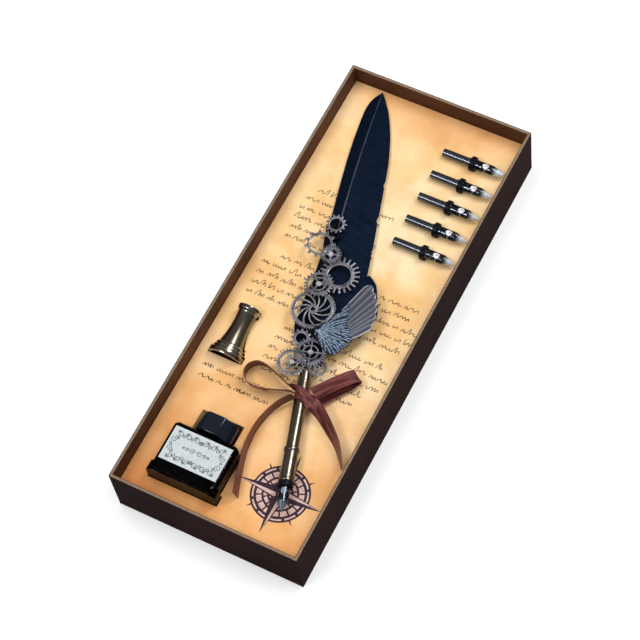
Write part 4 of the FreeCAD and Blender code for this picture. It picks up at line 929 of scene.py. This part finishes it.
def backing_place(outward, along):
    left = Vector(smooth_between(backing_left, along))
    right = Vector(smooth_between(backing_right, along))
    spot = left + (right - left) * outward
    rise = 0.08 * sin(60 * along + 8 * outward) * outward
    return backing_start + Vector((spot.x * backing_width, spot.y * backing_length, rise))


backing = strip_of_faces("barbed_backing", 20, 80, backing_place)
thicken(backing, 0.25, right_barbs, 40)
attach(backing, "pen")
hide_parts("backing_feather")
print("backing feather has", len(backing.data.polygons), "faces")

# %% [markdown]
# The wing is a casting of many small feathers. Two leaves are modelled, a round one and a pointed one, and
# then copied. Long round leaves make the plain feathers of the wing tip. Rows of short pointed ones lie
# over them and along the lower edge like roof tiles, the innermost row on top, and a last round leaf covers
# the root. On each leaf's UV map a sine wave that leans away from the rib cuts the barbs.

# %% Wing finish


def wing_finish(name, deep, face, worn, edge, barbs):
    """Cast metal of a small feather: a worn rib, a dark face, an edge of its own tone, and barbs across."""
    finish = start_finish(name, face, 0.36, 0.45)
    sides = add_node(finish, "SeparateXYZ", Vector=place_on(finish, "UV"))
    off_rib = calculate(finish, "ABSOLUTE", calculate(finish, "SUBTRACT", sides.outputs["X"], 0.5))
    lean = calculate(finish, "MULTIPLY", off_rib, 0.35)
    along = calculate(finish, "SUBTRACT", sides.outputs["Y"], lean)
    wave = calculate(finish, "SINE", calculate(finish, "MULTIPLY", along, 2 * pi * barbs))
    tone = ramp(finish, off_rib, [(0.0, worn), (0.1, face), (0.32, deep), (0.43, edge)])
    depth = spread(finish, wave, 0.0, 1.0, -1.0, 1.0)
    groove = ramp(finish, depth, [(0.1, (0.6, 0.6, 0.6)), (0.7, (1.0, 1.0, 1.0))])
    shade(finish, Base_Color=tint(finish, tone, groove, 0.7))
    patina = noise(finish, place_on(finish), 220, 6)
    shade(finish, Roughness=spread(finish, patina, 0.28, 0.44))
    relief(finish, wave, 0.00005, 0.8)
    return finish


pale_edge, dark_edge = (0.48, 0.46, 0.48), (0.005, 0.012, 0.030)
plain_pewter = wing_finish(
    "plain_pewter", (0.06, 0.066, 0.09), (0.11, 0.116, 0.15), (0.26, 0.26, 0.29), pale_edge, 16.0)
blue_pewter = wing_finish("blue_pewter", dark_edge, (0.05, 0.09, 0.17), (0.46, 0.54, 0.64), dark_edge, 3.0)

# %% Wing feathers
wing_root = Vector((3.6, 92.3, 6.0))
leaf_width, leaf_length = 4, 10
primary_count, primary_width = 7, 6.4
covert_rows, first_row_count = 6, 22
wing_edge = [(6, 25.5), (13, 29.8), (30, 35.9), (40, 39.7), (53, 43.4)]
covert_edge = [
    (-78, 7.7), (-66, 11.4), (-56, 17.2), (-47, 18.9), (-30, 19.9), (-20, 21.5), (-6, 22.4), (6, 19.8),
    (20, 18.2), (33, 20.5), (45, 25.0), (54, 26.0),
]


def wing_reach(edge, angle):
    """How far an edge lies from the wing's root at an angle."""
    for (first, near), (second, far) in zip(edge, edge[1:]):
        if angle <= second:
            return near + (far - near) * (angle - first) / (second - first)
    return edge[-1][1]


def model_leaf(columns, rows, tip_start, pointed):
    """A leaf 10 mm long and 4 mm wide along Y, domed, with a raised rib. Its tip is at the origin."""
    bpy.ops.mesh.primitive_grid_add(x_subdivisions=columns, y_subdivisions=rows, size=1)
    leaf = bpy.context.object
    for vertex in leaf.data.vertices:
        across, along = vertex.co.x * 2, vertex.co.y + 0.5
        tip = max(0, (along - tip_start) / (1 - tip_start))
        body = min(1, 0.6 + 1.2 * along) * (1 - tip ** 1.6 if pointed else sqrt(1 - tip ** 2))
        dome = 0.3 * (1 - across ** 2) * body + 0.1 * max(0, 1 - abs(across) * 4)
        vertex.co = (across * leaf_width / 2 * body, (along - 1) * leaf_length, dome)
    apply_modifier(leaf, "SOLIDIFY", thickness=0.3, offset=-1)
    return leaf


round_leaf = model_leaf(10, 24, 0.82, False)
pointed_leaf = model_leaf(6, 10, 0.45, True)
wing_pieces = []


def copy_leaf(leaf, finish, angle, reach, heading, length, width, level):
    """Copy a leaf: its tip lies at an angle and a reach from the root, and it points along a heading."""
    piece = leaf.copy()
    piece.data = leaf.data.copy()
    scene.collection.objects.link(piece)
    tip = Vector((reach * cos(radians(angle)), reach * sin(radians(angle)), level))
    turned = Matrix.Rotation(radians(heading - 90), 4, "Z")
    size = Matrix.Diagonal((width / leaf_width, length / leaf_length, 1, 1))
    piece.data.transform(pen_frame @ Matrix.Translation(wing_root + tip) @ turned @ size)
    piece.data.materials.append(finish)
    wing_pieces.append(piece)


for index in range(primary_count):
    angle = 51.5 - 6 * index
    heading = 57 - 3.2 * index
    length = 25 - 1.6 * index
    reach = wing_reach(wing_edge, angle)
    copy_leaf(round_leaf, plain_pewter, angle, reach, heading, length, primary_width, 0.1 + 0.06 * index)
wing_hand = random.Random(11)
for row in range(covert_rows):
    part = 1 - 0.155 * row
    count = int(first_row_count * (0.3 + 0.7 * part))
    for index in range(count):
        angle = 53 - 130 * (index + 0.5 * (row % 2)) / count + wing_hand.uniform(-1.2, 1.2)
        reach = wing_reach(covert_edge, angle) * part + wing_hand.uniform(-1.0, 0.4)
        heading = 1.06 * angle - 6 + wing_hand.uniform(-7, 7)
        length = min(wing_hand.uniform(5.0, 8.0), reach + 1)
        width = wing_hand.uniform(2.7, 3.6)
        copy_leaf(pointed_leaf, blue_pewter, angle, reach, heading, length, width, 0.55 + 0.13 * row)
copy_leaf(round_leaf, blue_pewter, 225, 2.2, 200, 9, 10, 0.5)
bpy.data.objects.remove(round_leaf)
bpy.data.objects.remove(pointed_leaf)
wing = join_pieces("feathered_wing", wing_pieces)
face_outward(wing)
smooth_faces(40)
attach(wing, "pen")
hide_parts("wing_ornament")
print("wing has", len(wing_pieces), "feathers and", len(wing.data.polygons), "faces")

# %% [markdown]
# The ribbon is a satin strip tied round the barrel in a bow. Each part is a strip of faces through a few
# stations: how far out, how far along the pen, how high above the card, and how far the strip leans. The
# upper band of the left loop runs on over the barrel and becomes the right tail, so a gathered strip
# crosses there, above a turn round the barrel that holds the rest. Satin is smooth along its length, so
# its fine threads run that way on the UV map, and its gloss has the colour of the ribbon. Its colour also
# carries painted light: streaks along the threads are lighter, a painted sheen, and a broad noise paints
# darker folds, a painted shade. Both noises give the satin its relief as well.

# %% Ribbon
ribbon_width, ribbon_thickness, ribbon_anchor, ribbon_reach = 8.4, 0.35, 54.0, 4.25
left_loop = [
    (-1.5, 3.4, 3.0, 78), (-8.1, 8.6, 2.0, 80), (-16.3, 15.2, 1.0, 80), (-23.2, 18.0, 0.6, 82),
    (-28.6, 15.3, 0.6, 86), (-30.3, 9.9, 0.6, 92), (-27.4, 4.8, 0.6, 100), (-21.1, 2.4, 0.6, 108),
    (-13.0, 2.2, 0.9, 112), (-4.8, 2.0, 1.6, 110), (-0.3, 1.0, 2.6, 104),
]
right_loop = [
    (2.9, -0.4, 9.5), (9.7, 4.2, 9.8), (15.9, 8.6, 9.5), (21.5, 12.4, 8.8), (24.9, 14.8, 7.2),
    (25.8, 15.1, 5.6), (24.9, 13.8, 4.3), (20.7, 10.9, 3.3), (14.5, 6.5, 3.1), (8.4, 1.5, 3.3),
    (3.4, -2.4, 3.6),
]
right_tail = [
    (3.2, -6.4, 8.4, 18), (8.4, -10.7, 5.2, 42), (14.7, -19.0, 2.4, 56), (20.6, -28.4, 1.0, 68),
    (25.1, -40.7, 0.5, 82),
]
left_tail = [
    (-0.1, -1.5, 3.0, 84), (-5.6, -4.7, 1.6, 89), (-10.6, -9.2, 0.8, 91), (-15.0, -15.3, 0.5, 92),
    (-18.6, -22.6, 0.5, 94), (-21.0, -30.8, 0.5, 97), (-22.2, -38.3, 0.5, 99), (-22.8, -52.9, 0.5, 101),
    (-22.8, -64.3, 0.5, 104),
]
bed_below_mouth = card_top / MM - pen_mouth.z

ribbon_satin = start_finish("ribbon", (0.14, 0.033, 0.026), 0.34)
shade(ribbon_satin, Specular_Tint=(1.0, 0.5, 0.45, 1))
threads = noise(ribbon_satin, place_on(ribbon_satin, "UV", (120, 6, 1)), 1.0, 4)
folds = noise(ribbon_satin, place_on(ribbon_satin, "UV", (4, 3, 1)), 1.0, 1)
# The lighter streaks along the threads are painted sheen, and the darker folds are painted shade.
thread_sheen_tone = ramp(ribbon_satin, threads, [(0.3, (0.11, 0.024, 0.023)), (0.7, (0.28, 0.085, 0.079))])
painted_fold_shade = ramp(ribbon_satin, folds, [(0.34, (0.15, 0.12, 0.12)), (0.62, (1.0, 1.0, 1.0))])
shade(ribbon_satin, Base_Color=tint(ribbon_satin, thread_sheen_tone, painted_fold_shade),
      Roughness=spread(ribbon_satin, threads, 0.42, 0.28))
thread_relief = relief(ribbon_satin, threads, 0.00003, 0.5)
fold_relief = relief(ribbon_satin, folds, 0.0006, 0.5)
fill(ribbon_satin, fold_relief, Normal=thread_relief.outputs["Normal"])


def ribbon_strip(name, stations, side, fixed_way=None, gather=0.0):
    """A satin strip through stations: outward, along, height of its lower edge, and lean from flat.

    A gather of 0.4 takes up 0.4 of its width half way along."""
    middles = []
    leans = []
    for station in stations:
        lean = 0 if fixed_way else station[3]
        run = ribbon_anchor + station[1]
        bed = bed_below_mouth + run * tan(pen_pitch)
        height = bed + station[2] + ribbon_width / 2 * sin(radians(lean))
        middles.append((side * ribbon_reach + station[0], run, height))
        leans.append((lean,))

    def place_at(crosswise, share):
        middle = Vector(smooth_between(middles, share))
        ahead = Vector(smooth_between(middles, min(share + 0.01, 1)))
        behind = Vector(smooth_between(middles, max(share - 0.01, 0)))
        run = (ahead - behind).normalized()
        if fixed_way:
            across = (fixed_way - run * fixed_way.dot(run)).normalized()
        else:
            lean = radians(smooth_between(leans, share)[0])
            flat = Vector((-run.y, run.x, 0)).normalized()
            across = flat * cos(lean) + run.cross(flat) * sin(lean)
        width = ribbon_width * (1 - gather * sin(pi * share))
        pleat = run.cross(across) * 0.25 * gather * sin(pi * share) * cos(22 * crosswise)
        return middle + across * width * (crosswise - 0.5) + pleat

    piece = strip_of_faces(name, 8, 120, place_at)
    thicken(piece, ribbon_thickness, ribbon_satin, 50)
    print(name, "has", len(piece.data.polygons), "faces")
    return piece


def stand_for(piece, node):
    """Let a ribbon piece ride on the pen in place of a CAD node."""
    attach(piece, "pen")
    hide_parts(node)


flat_way = Vector((-0.552, 0.833, 0))
stand_for(ribbon_strip("satin_loop_left", left_loop, -1), "ribbon_loop_left")
stand_for(ribbon_strip("satin_loop_right", right_loop, 1, flat_way), "ribbon_loop_right")
stand_for(ribbon_strip("satin_tail_right", right_tail, 1), "ribbon_tail_right")
stand_for(ribbon_strip("satin_tail_left", left_tail, -1), "ribbon_tail_left")

# %% Knot
crossing_way = [
    (-10.0, 3.4, 3.0, 102), (-7.4, 1.9, 5.1, 64), (-4.2, -0.4, 8.6, 18), (-0.4, -3.2, 8.9, 10),
    (3.2, -6.4, 8.4, 18),
]


def turn_place(crosswise, share):
    """A point of the turn round the barrel, which is gathered where the crossing strip holds it down."""
    angle = 2 * pi * share
    width = 6.4 + 1.2 * cos(2 * angle)
    radius = 4.05 + 0.12 * cos(20 * crosswise)
    along = ribbon_anchor + width * (crosswise - 0.5)
    return radius * sin(angle), along, radius * cos(angle)


crossing = ribbon_strip("satin_crossing", crossing_way, 1, gather=0.35)
knot = strip_of_faces("satin_knot", 12, 64, turn_place)
thicken(knot, 0.3, ribbon_satin, 50)
join_pieces("satin_knot", [knot, crossing])
stand_for(knot, "ribbon_knot")
print("knot has", len(knot.data.polygons), "faces")

# %% [markdown]
# Blender must not change the size of the object. So the box that holds everything is measured again and
# written beside the CAD box.

# %% Size against the CAD box
seen_low, seen_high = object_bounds()
growth = (*(cad_low - seen_low), *(seen_high - cad_high))
print("grown by mm:", [round(number / MM, 2) for number in growth])
